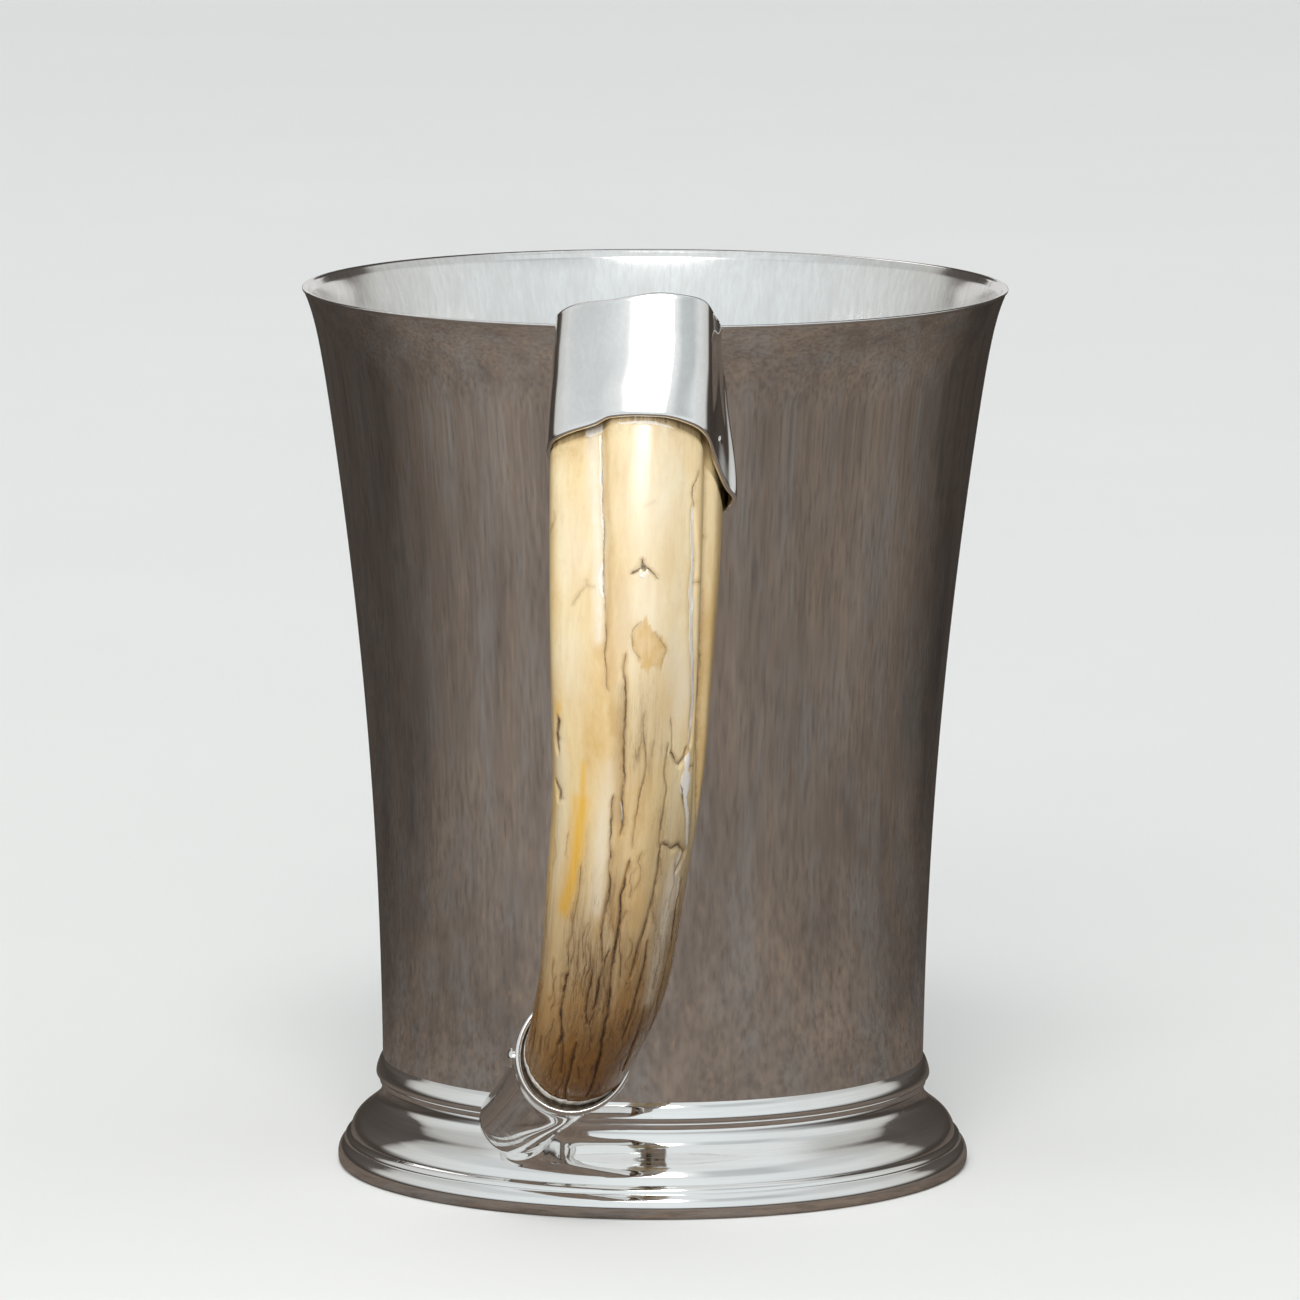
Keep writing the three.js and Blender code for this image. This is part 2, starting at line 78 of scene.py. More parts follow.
# ------------------------------------------------------------------ number helpers
def fade(x, a, b):
    k = np.clip((np.asarray(x, float) - a) / (b - a), 0, 1)
    return k * k * (3 - 2 * k)


def bump(d, d0, w):
    x = (np.asarray(d, float) - d0 + 180) % 360 - 180
    return np.exp(-((x / w) ** 2))


def hashed(ix, iy, seed):
    v = (ix.astype(np.int64) * 374761393 + iy.astype(np.int64) * 668265263 + seed * 974711) & 0x7FFFFFFF
    v = ((v ^ (v >> 13)) * 1274126177) & 0x7FFFFFFF
    return ((v ^ (v >> 16)) & 0xFFFF) / 65535.0


def wobble(u, v, seed, wrap=None):
    """Smooth lattice noise from -1 to 1. wrap makes it repeat along u after that many cells."""
    u, v = np.broadcast_arrays(np.asarray(u, float), np.asarray(v, float))
    iu, iv = np.floor(u), np.floor(v)
    fu, fv = u - iu, v - iv
    fu, fv = fu * fu * (3 - 2 * fu), fv * fv * (3 - 2 * fv)
    w = (lambda a: np.mod(a, wrap)) if wrap else (lambda a: a)
    a, b = hashed(w(iu), iv, seed), hashed(w(iu + 1), iv, seed)
    c, d = hashed(w(iu), iv + 1, seed), hashed(w(iu + 1), iv + 1, seed)
    return 2 * ((a * (1 - fu) + b * fu) * (1 - fv) + (c * (1 - fu) + d * fu) * fv) - 1


def spline(arr, t):
    t = np.asarray(t, float)
    n = len(arr)
    i = np.clip(np.floor(t).astype(int), 0, n - 2)
    w = t - i
    e = np.concatenate([[2 * arr[0] - arr[1]], arr, [2 * arr[-1] - arr[-2]]])
    p0, p1, p2, p3 = e[i], e[i + 1], e[i + 2], e[i + 3]
    t0, t1 = 0.5 * (p2 - p0), 0.5 * (p3 - p1)
    return p1 + t0 * w + (-3 * p1 + 3 * p2 - 2 * t0 - t1) * w**2 + (2 * p1 - 2 * p2 + t0 + t1) * w**3


def through(xs, ys, x):
    """Smooth curve through points, with no overshoot."""
    xs, ys, x = np.asarray(xs, float), np.asarray(ys, float), np.asarray(x, float)
    h, d = np.diff(xs), np.diff(ys) / np.diff(xs)
    m = np.zeros(len(xs))
    same = d[:-1] * d[1:] > 0
    w1, w2 = 2 * h[1:] + h[:-1], h[1:] + 2 * h[:-1]
    m[1:-1][same] = ((w1 + w2)[same]) / (w1[same] / d[:-1][same] + w2[same] / d[1:][same])
    m[0], m[-1] = d[0], d[-1]
    i = np.clip(np.searchsorted(xs, x, side="right") - 1, 0, len(xs) - 2)
    s = np.clip((x - xs[i]) / h[i], 0, 1)
    return ((2 * s**3 - 3 * s**2 + 1) * ys[i] + (s**3 - 2 * s**2 + s) * h[i] * m[i]
            + (-2 * s**3 + 3 * s**2) * ys[i + 1] + (s**3 - s**2) * h[i] * m[i + 1])


def outline(points, step=0.12, corners=()):
    """A finer profile through [r, z] points, rounded except at the corners."""
    pts = np.array(points, float)
    cuts = sorted({0, len(pts) - 1, *corners})
    out = []
    for a, b in zip(cuts[:-1], cuts[1:]):
        seg = pts[a : b + 1]
        if len(seg) == 2:
            n = max(2, int(np.linalg.norm(seg[1] - seg[0]) / (step * 4)))
            out += [seg[0] + (seg[1] - seg[0]) * k / n for k in range(n)]
            continue
        ext = np.vstack([2 * seg[0] - seg[1], seg, 2 * seg[-1] - seg[-2]])
        k = np.concatenate([[0], np.cumsum(np.sqrt(np.linalg.norm(np.diff(ext, axis=0), axis=1)))])
        for i in range(1, len(ext) - 2):
            p0, p1, p2, p3 = ext[i - 1 : i + 3]
            t0, t1, t2, t3 = k[i - 1 : i + 3]
            n = max(2, int(np.linalg.norm(p2 - p1) / step))
            for t in np.linspace(t1, t2, n, endpoint=False):
                a1 = (t1 - t) / (t1 - t0) * p0 + (t - t0) / (t1 - t0) * p1
                a2 = (t2 - t) / (t2 - t1) * p1 + (t - t1) / (t2 - t1) * p2
                a3 = (t3 - t) / (t3 - t2) * p2 + (t - t2) / (t3 - t2) * p3
                b1 = (t2 - t) / (t2 - t0) * a1 + (t - t0) / (t2 - t0) * a2
                b2 = (t3 - t) / (t3 - t1) * a2 + (t - t1) / (t3 - t1) * a3
                out.append((t2 - t) / (t2 - t1) * b1 + (t - t1) / (t2 - t1) * b2)
    out.append(pts[-1])
    return np.array(out)


def body_r(z):
    """Outside radius of the cup's wall at a height."""
    s = (np.asarray(z, float) - 12.75) / 126.7
    return (42.9712 + 1.406 * s + 6.5849 * s**2 + 7.7328 * s**3 - 4.6221 * s**4
            + 1.3586 * np.exp((np.minimum(s, 1.0) - 1) / 0.035))


# ------------------------------------------------------------------ mesh helpers
def placed(points):
    p = np.asarray(points, float).reshape(-1, 3) * 0.001
    p[:, 1] += SHIFT_Y
    return p


def grid(rows, cols, loop_rows=False, first=0):
    """Quads over rings of points that close round; loop_rows joins the last ring to the first."""
    i = np.arange(rows if loop_rows else rows - 1)[:, None]
    j = np.arange(cols)[None, :]
    k, l = (i + 1) % rows, (j + 1) % cols
    f = np.stack([i * cols + j, i * cols + l, k * cols + l, k * cols + j], -1)
    return (f.reshape(-1, 4) + first).tolist()


def fan(pole, start, cols, turned):
    j = np.arange(cols)
    a, b = start + j, start + (j + 1) % cols
    f = np.stack([np.full(cols, pole), b, a] if turned else [np.full(cols, pole), a, b], -1)
    return f.tolist()


def make(name, points, faces, material, node, sharp=None):
    """A piece from points in mm, its faces turned outwards, riding on the body in place of a CAD node."""
    v = placed(points)
    tris = [(f[0], f[i], f[i + 1]) for f in faces for i in range(1, len(f) - 1)]
    t = np.array(tris)
    volume = np.einsum("ij,ij->i", v[t[:, 0]], np.cross(v[t[:, 1]], v[t[:, 2]])).sum()
    if volume < 0:
        faces = [tuple(reversed(f)) for f in faces]
    me = bpy.data.meshes.new(name)
    me.from_pydata(v.tolist(), [], [tuple(f) for f in faces])
    me.update()
    me.shade_smooth()
    if sharp:
        me.set_sharp_from_angle(angle=math.radians(sharp))
    me.materials.append(material)
    ob = bpy.data.objects.new(name, me)
    bpy.context.scene.collection.objects.link(ob)
    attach(ob, "root")
    if node:
        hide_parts(node)
    return ob


def turned(name, profile, material, node, segments=288, closed=True, sharp=None, shape=None):
    """A turned piece. A profile that isn't closed starts and ends on the axis."""
    prof = np.asarray(profile, float)
    ang = np.arange(segments) * 2 * math.pi / segments
    ring = prof if closed else prof[1:-1]
    r, z = ring[:, 0][:, None], ring[:, 1][:, None]
    if shape is not None:
        r = r + shape(ang[None, :], z, r)
    pts = np.stack([r * np.sin(ang), -r * np.cos(ang), z + 0 * ang + 0 * r], -1).reshape(-1, 3)
    faces = grid(len(ring), segments, loop_rows=closed)
    if not closed:
        n = len(pts)
        pts = np.vstack([pts, [0, 0, prof[0, 1]], [0, 0, prof[-1, 1]]])
        faces += fan(n, 0, segments, True) + fan(n + 1, n - segments, segments, False)
    return make(name, pts, faces, material, node, sharp)


# ------------------------------------------------------------------ materials
def new_material(name):
    m = bpy.data.materials.new(name)
    m.use_nodes = True
    m.node_tree.nodes.clear()
    out = m.node_tree.nodes.new("ShaderNodeOutputMaterial")
    bsdf = m.node_tree.nodes.new("ShaderNodeBsdfPrincipled")
    m.node_tree.links.new(bsdf.outputs["BSDF"], out.inputs["Surface"])
    return m, m.node_tree, bsdf


class Nodes:
    """Short names for the shader nodes used below."""

    def __init__(self, tree):
        self.t = tree

    def new(self, kind, **inputs):
        n = self.t.nodes.new(kind)
        for key, value in inputs.items():
            self.put(n, key.replace("_", " "), value)
        return n

    def put(self, n, key, value):
        sock = n.inputs[int(key)] if key.isdigit() else n.inputs[key]
        if isinstance(value, bpy.types.NodeSocket):
            self.t.links.new(value, sock)
        else:
            sock.default_value = value

    def position(self):
        return self.t.nodes.new("ShaderNodeTexCoord").outputs["Object"]

    def scaled(self, vector, scale, offset=(0, 0, 0)):
        m = self.t.nodes.new("ShaderNodeMapping")
        m.inputs["Scale"].default_value = scale
        m.inputs["Location"].default_value = offset
        self.t.links.new(vector, m.inputs["Vector"])
        return m.outputs["Vector"]

    def noise(self, vector, scale=1.0, detail=3.0, rough=0.55, distortion=0.0):
        n = self.new("ShaderNodeTexNoise", Vector=vector, Scale=scale, Detail=detail, Roughness=rough,
                     Distortion=distortion)
        return n.outputs["Fac"]

    def cells(self, vector, scale, feature="F1", out="Distance"):
        n = self.t.nodes.new("ShaderNodeTexVoronoi")
        n.feature = feature
        n.inputs["Scale"].default_value = scale
        self.t.links.new(vector, n.inputs["Vector"])
        return n.outputs[out]

    def span(self, value, lo, hi, to_lo, to_hi, smooth=False):
        n = self.t.nodes.new("ShaderNodeMapRange")
        n.clamp = True
        if smooth:
            n.interpolation_type = "SMOOTHSTEP"
        self.put(n, "0", value)
        for k, v in zip(("1", "2", "3", "4"), (lo, hi, to_lo, to_hi)):
            self.put(n, k, v)
        return n.outputs[0]

    def math(self, op, a, b=None):
        n = self.t.nodes.new("ShaderNodeMath")
        n.operation = op
        self.put(n, "0", a)
        if b is not None:
            self.put(n, "1", b)
        return n.outputs[0]

    def mix(self, fac, a, b, blend="MIX"):
        n = self.t.nodes.new("ShaderNodeMix")
        n.data_type = "RGBA"
        n.blend_type = blend
        self.put(n, "0", fac)
        for sock, v in ((n.inputs[6], a), (n.inputs[7], b)):
            if isinstance(v, bpy.types.NodeSocket):
                self.t.links.new(v, sock)
            else:
                sock.default_value = (*v, 1.0)
        return n.outputs[2]

    def ramp(self, fac, stops):
        n = self.t.nodes.new("ShaderNodeValToRGB")
        el = n.color_ramp.elements
        while len(el) < len(stops):
            el.new(0.5)
        for e, (pos, colour) in zip(el, stops):
            e.position = pos
            e.color = (*colour, 1.0)
        self.t.links.new(fac, n.inputs["Fac"])
        return n.outputs["Color"]

    def attribute(self, name, out="Fac"):
        n = self.t.nodes.new("ShaderNodeAttribute")
        n.attribute_name = name
        return n.outputs[out]

    def bump(self, height, strength, distance, normal=None):
        n = self.t.nodes.new("ShaderNodeBump")
        n.inputs["Strength"].default_value = strength
        n.inputs["Distance"].default_value = distance
        self.t.links.new(height, n.inputs["Height"])
        if normal is not None:
            self.t.links.new(normal, n.inputs["Normal"])
        return n.outputs["Normal"]


def silver(name, grain, rough=(0.035, 0.09), bright=0.0, inside=0.0):
    """Polished silver. grain is the way the polishing lines run: up, round or all."""
    m, tree, bsdf = new_material(name)
    k = Nodes(tree)
    pos = k.position()
    if grain == "up":
        lines = k.scaled(pos, (1500, 1500, 26))
        broad = k.scaled(pos, (240, 240, 7))
    elif grain == "round":
        sep = k.new("ShaderNodeSeparateXYZ", Vector=pos)
        y = k.math("SUBTRACT", sep.outputs["Y"], SHIFT_Y)
        r = k.math("SQRT", k.math("ADD", k.math("MULTIPLY", sep.outputs["X"], sep.outputs["X"]),
                                  k.math("MULTIPLY", y, y)))
        a = k.math("ARCTAN2", sep.outputs["X"], y)
        v = k.new("ShaderNodeCombineXYZ", X=r, Y=k.math("MULTIPLY", a, 0.0015), Z=sep.outputs["Z"])
        lines = k.scaled(v.outputs["Vector"], (2600, 2600, 2600))
        broad = k.scaled(v.outputs["Vector"], (380, 900, 380))
    else:
        lines = k.scaled(pos, (1700, 500, 900))
        broad = k.scaled(pos, (150, 150, 150))
    fine = k.noise(lines, 1.0, 4.0, 0.6)
    cloud = k.noise(broad, 1.0, 3.0, 0.55)
    patina = k.noise(k.scaled(pos, (38, 38, 38)), 1.0, 5.0, 0.6, 0.4)
    colour = k.mix(k.span(fine, 0.35, 0.7, 0.0, 1.0), (0.86 + bright, 0.845 + bright, 0.825 + bright),
                   (0.955, 0.95, 0.94))
    colour = k.mix(k.span(cloud, 0.45, 0.75, 0.0, 0.55), colour, (0.80 + bright, 0.775 + bright, 0.75 + bright))
    colour = k.mix(k.span(patina, 0.58, 0.8, 0.0, 0.4), colour, (0.83, 0.79, 0.72))
    # tiny specks and nicks
    dots = k.cells(k.scaled(pos, (1, 1, 1), (0.013, 0.031, 0.007)), 330.0)
    pick = k.noise(k.scaled(pos, (95, 95, 95)), 1.0, 0.0)
    speck = k.math("MULTIPLY", k.span(dots, 0.03, 0.075, 1.0, 0.0), k.span(pick, 0.56, 0.6, 0.0, 1.0))
    colour = k.mix(k.math("MULTIPLY", speck, 0.5), colour, (0.99, 0.985, 0.975))
    tree.links.new(colour, bsdf.inputs["Base Color"])
    # scratches: narrow bands of a stretched noise turned two ways
    scratch = None
    for turn, seed in ((0.5, 0.0), (-0.9, 3.7)):
        mp = tree.nodes.new("ShaderNodeMapping")
        mp.inputs["Rotation"].default_value = (turn, turn * 0.7, turn * 1.3)
        mp.inputs["Scale"].default_value = (60, 900, 60)
        mp.inputs["Location"].default_value = (seed, seed * 2, seed)
        tree.links.new(pos, mp.inputs["Vector"])
        n = k.noise(mp.outputs["Vector"], 1.0, 2.0, 0.5)
        band = k.span(k.math("ABSOLUTE", k.math("SUBTRACT", n, 0.5)), 0.0, 0.012, 1.0, 0.0)
        scratch = band if scratch is None else k.math("MAXIMUM", scratch, band)
    mask = k.span(k.noise(k.scaled(pos, (55, 55, 55)), 1.0, 2.0), 0.5, 0.64, 0.0, 1.0)
    scratch = k.math("MULTIPLY", scratch, mask)
    # the bands only draw out into lines where the surface turns away from their steep axis
    facing = k.new("ShaderNodeSeparateXYZ", Vector=tree.nodes.new("ShaderNodeNewGeometry").outputs["Normal"])
    scratch = k.math("MULTIPLY", scratch, k.span(k.math("ABSOLUTE", facing.outputs["Y"]), 0.45, 0.75, 1.0, 0.0))
    r1 = k.span(fine, 0.3, 0.75, rough[0], rough[1])
    r2 = k.math("ADD", r1, k.math("MULTIPLY", scratch, 0.12))
    r3 = k.math("ADD", r2, k.math("MULTIPLY", k.span(patina, 0.5, 0.8, 0.0, 1.0), 0.05))
    r4 = k.math("ADD", r3, k.math("MULTIPLY", speck, 0.15))
    if inside:
        r4 = k.math("ADD", r4, k.math("MULTIPLY", k.attribute("inside"), k.span(cloud, 0.3, 0.7, inside * 0.8, inside)))
    tree.links.new(r4, bsdf.inputs["Roughness"])
    n1 = k.bump(fine, 0.05, 0.00002)
    n2 = k.bump(k.math("SUBTRACT", k.math("MULTIPLY", speck, 0.6), scratch), 0.10, 0.00002, n1)
    n3 = k.bump(cloud, 0.10, 0.00006, n2)
    tree.links.new(n3, bsdf.inputs["Normal"])
    bsdf.inputs["Metallic"].default_value = 1.0
    bsdf.inputs["Specular Tint"].default_value = (0.98, 0.98, 0.98, 1.0)
    return m


def bedding():
    m, tree, bsdf = new_material("bedding_cement")
    k = Nodes(tree)
    pos = k.position()
    a = k.noise(k.scaled(pos, (1100, 1100, 1100)), 1.0, 5.0, 0.65)
    b = k.noise(k.scaled(pos, (300, 300, 300)), 1.0, 3.0, 0.6)
    top = k.ramp(a, [(0.3, (0.30, 0.25, 0.19)), (0.45, (0.62, 0.58, 0.52)), (0.62, (0.84, 0.82, 0.78)),
                     (0.8, (0.90, 0.88, 0.85))])
    sunk = k.mix(k.span(a, 0.35, 0.7, 0.0, 1.0), (0.035, 0.025, 0.017), (0.17, 0.13, 0.09))
    high = k.math("ADD", k.attribute("bed_high"), k.span(b, 0.35, 0.65, -0.3, 0.3))
    colour = k.mix(k.span(high, 0.25, 0.75, 0.0, 1.0), sunk, top)
    colour = k.mix(k.span(b, 0.55, 0.72, 0.0, 0.6), colour, (0.24, 0.165, 0.10))
    tree.links.new(colour, bsdf.inputs["Base Color"])
    tree.links.new(k.span(b, 0.3, 0.7, 0.3, 0.65), bsdf.inputs["Roughness"])
    n1 = k.bump(a, 0.6, 0.0002)
    tree.links.new(k.bump(b, 0.5, 0.0004, n1), bsdf.inputs["Normal"])
    return m


SILVER_UP = silver("silver_wall", "up", (0.016, 0.045), 0.0, 0.17)
SILVER_ROUND = silver("silver_turned", "round", (0.025, 0.06), 0.04)
SILVER_ALL = silver("silver_fittings", "all", (0.02, 0.055), 0.04)
BEDDING = bedding()

# ------------------------------------------------------------------ turned pieces
zs = 12.75 + 126.7 * np.concatenate([np.linspace(0, 0.86, 96), 1 - 0.14 * np.linspace(1, 0, 36)[1:] ** 1.5])
out_r = body_r(zs)
slope = np.gradient(out_r, zs)
norm = np.sqrt(1 + slope**2)
inner = np.stack([out_r - 0.95 / norm, zs + 0.95 * slope / norm], 1)
inner = inner[inner[:, 1] < 139.1]
lip = outline([(out_r[-1], zs[-1]), (55.66, 139.68), (55.68, 139.86), (55.5, 140.0), (55.2, 140.0),
               (54.85, 139.82), (54.62, 139.5), tuple(inner[-1])], 0.06)
wall_profile = np.vstack([np.stack([out_r, zs], 1), lip[1:-1], inner[::-1], [(42.3, 12.75)]])


def wall_shape(ang, z, r):
    turns = ang / (2 * math.pi)
    soft = fade(z, 16, 30) * (1 - fade(z, 132, 139))
    return soft * (0.010 * wobble(turns * 22, z / 21, 5, 22) + 0.004 * wobble(turns * 60, z / 34, 9, 60))


wall = turned("cup_wall", wall_profile, SILVER_UP, "body_wall", 320, sharp=50, shape=wall_shape)
n_out, n_lip = len(out_r), len(lip) - 2
inner_share = np.concatenate([np.zeros(n_out), np.linspace(0, 0.6, n_lip), np.ones(len(inner)), [0.0]])
wall.data.attributes.new("inside", "FLOAT", "POINT").data.foreach_set("value", np.repeat(inner_share, 320).astype(np.float32))
turned("cup_floor", outline([(0, 13.3), (41.9, 13.3), (41.95, 13.6), (41.95, 15.6), (41.5, 15.15), (40.9, 14.75),
                             (40.0, 14.52), (38.5, 14.44), (20, 14.4), (0, 14.4)], 0.5, (1, 3)),
       SILVER_ROUND, "floor_disc", 192, closed=False, sharp=45)
turned("girdle", np.vstack([outline(GIRDLE, 0.09, (1, 6)), [(42.9, 15.0)]]), SILVER_ROUND, "girdle_moulding", 320,
       sharp=50)
foot = outline(FOOT, 0.14, (1, 12))
skin = foot[foot[:, 1] < 12.5]
tang = np.gradient(skin, axis=0)
tang /= np.linalg.norm(tang, axis=1, keepdims=True)
under = skin + 0.9 * np.stack([tang[:, 1], -tang[:, 0]], 1)
under = under[::-1][::2]
turned("foot_dome_skin", np.vstack([foot, [(47.34, 0.5)], under[1:-1], [(41.6, 11.85), (41.2, 11.85)]]),
       SILVER_ROUND, "foot_dome", 320, sharp=50)
turned("foot_wire", np.vstack([outline(RIM_WIRE, 0.11, (1, 7)), [(48.2, 2.5)]]), SILVER_ROUND, "foot_rim_wire", 320,
       sharp=50)


# ------------------------------------------------------------------ the tusk's section
def centre(t):
    return np.stack([spline(TUSK_X, t), spline(TUSK_Y, t), spline(TUSK_Z, t)], -1)


def axes(t):
    along = centre(np.minimum(t + 1e-3, 10)) - centre(np.maximum(t - 1e-3, 0))
    along /= np.linalg.norm(along, axis=-1, keepdims=True)
    right = np.array([1.0, 0, 0]) - along * along[..., :1]
    right /= np.linalg.norm(right, axis=-1, keepdims=True)
    return along, right, np.cross(along, right)


def lobes(t, ang, soft=False):
    d = np.degrees(ang)
    f1, f3 = 1 - fade(t, 3.0, 4.0), 1 - fade(t, 4.2, 5.6)
    left = -26 + 4.2 * (np.clip(t, 1, 4) - 2.06)
    valley = 61 + 3.7 * (np.clip(t, 1, 5) - 2.05)
    side = (d - left + 180) % 360 - 180
    slim = 0.5 - 1.5 * (1 - fade(t, 1.2, 2.4))  # the right-hand lobe stands out only lower down
    if soft:  # the collar's sheet follows the lobes only loosely
        return (0.13 * bump(d, left, np.where(side < 0, 15, 10)) - 0.62 * bump(d, valley, 14)
                + (1.87 - 0.4 * fade(t, 1.45, 2.0)) * bump(d, 40, 21) + 1.24 * bump(d, -54.7, 17.9) + 0.22 * bump(d, 14, 20)
                + slim * bump(d, 92, 18) - 0.7 * bump(d, 180, 40))
    return (-0.9 * f1 * bump(d, left, np.where(side < 0, 13, 6)) - 1.35 * f3 * bump(d, valley, 7)
            + 0.45 * f3 * bump(d, valley - 17, 10) + 1.1 * (1 - fade(t, 3.2, 6)) * bump(d, -62, 15)
            - 0.3 * fade(t, 3.5, 5) * bump(d, -55, 28) + 0.55 * (1 - fade(t, 5, 8)) * bump(d, 14, 20)
            + slim * f3 * bump(d, 92, 18) - 0.7 * (1 - fade(t, 6, 9)) * bump(d, 180, 40))


def section(t, ang, offset=0.0, soft=False):
    t, ang, offset = np.broadcast_arrays(np.asarray(t, float), np.asarray(ang, float), np.asarray(offset, float))
    _, right, front = axes(t)
    l = lobes(t, ang, soft) + offset
    return (centre(t) + ((spline(TUSK_A, t) + l) * np.sin(ang))[..., None] * right
            + ((spline(TUSK_B, t) + l) * np.cos(ang))[..., None] * front)


def top_knot(ang, offset, depth, soft=False):
    d = np.degrees(ang)
    dip = (COLLAR_DIP * bump(d, 95, 30) + 0.55 * bump(d, -24, 16) + 0.9 * bump(d, -60, 18) - 0.4 * bump(d, 13, 13)
           + 0.8 * bump(d, 54, 11))
    lo, hi = np.full_like(ang, -0.2), np.full_like(ang, 1.9)
    for _ in range(40):
        mid = (lo + hi) / 2
        p = section(mid, ang, offset, soft)
        above = p[..., 2] > COLLAR_TOP_Z - COLLAR_SLOPE * (p[..., 1] - COLLAR_TOP_Y) - depth - dip
        lo, hi = np.where(above, mid, lo), np.where(above, hi, mid)
    return (lo + hi) / 2


LOW_DEG = np.array([a for a, _ in COLLAR_LOW], float)
LOW_KNOT = np.array([t for _, t in COLLAR_LOW], float)


def low_knot(ang):
    d = (np.degrees(ang) + 180) % 360 - 180
    deg = np.concatenate([LOW_DEG[:-1] - 360, LOW_DEG, LOW_DEG[1:] + 360])
    knot = np.concatenate([LOW_KNOT[:-1], LOW_KNOT, LOW_KNOT[1:]])
    return through(deg, knot, d)


def clear_of_wall(p, gap):
    """Points that would lie in the cup's wall are pressed out to just off its surface."""
    r = np.hypot(p[..., 0], p[..., 1])
    limit = np.where(p[..., 2] < 139.7, body_r(np.minimum(p[..., 2], 139.45)), 55.75) + gap
    s = np.maximum(limit / np.maximum(r, 1e-6), 1.0)
    q = p.copy()
    q[..., 0] *= s
    q[..., 1] *= s
    return q


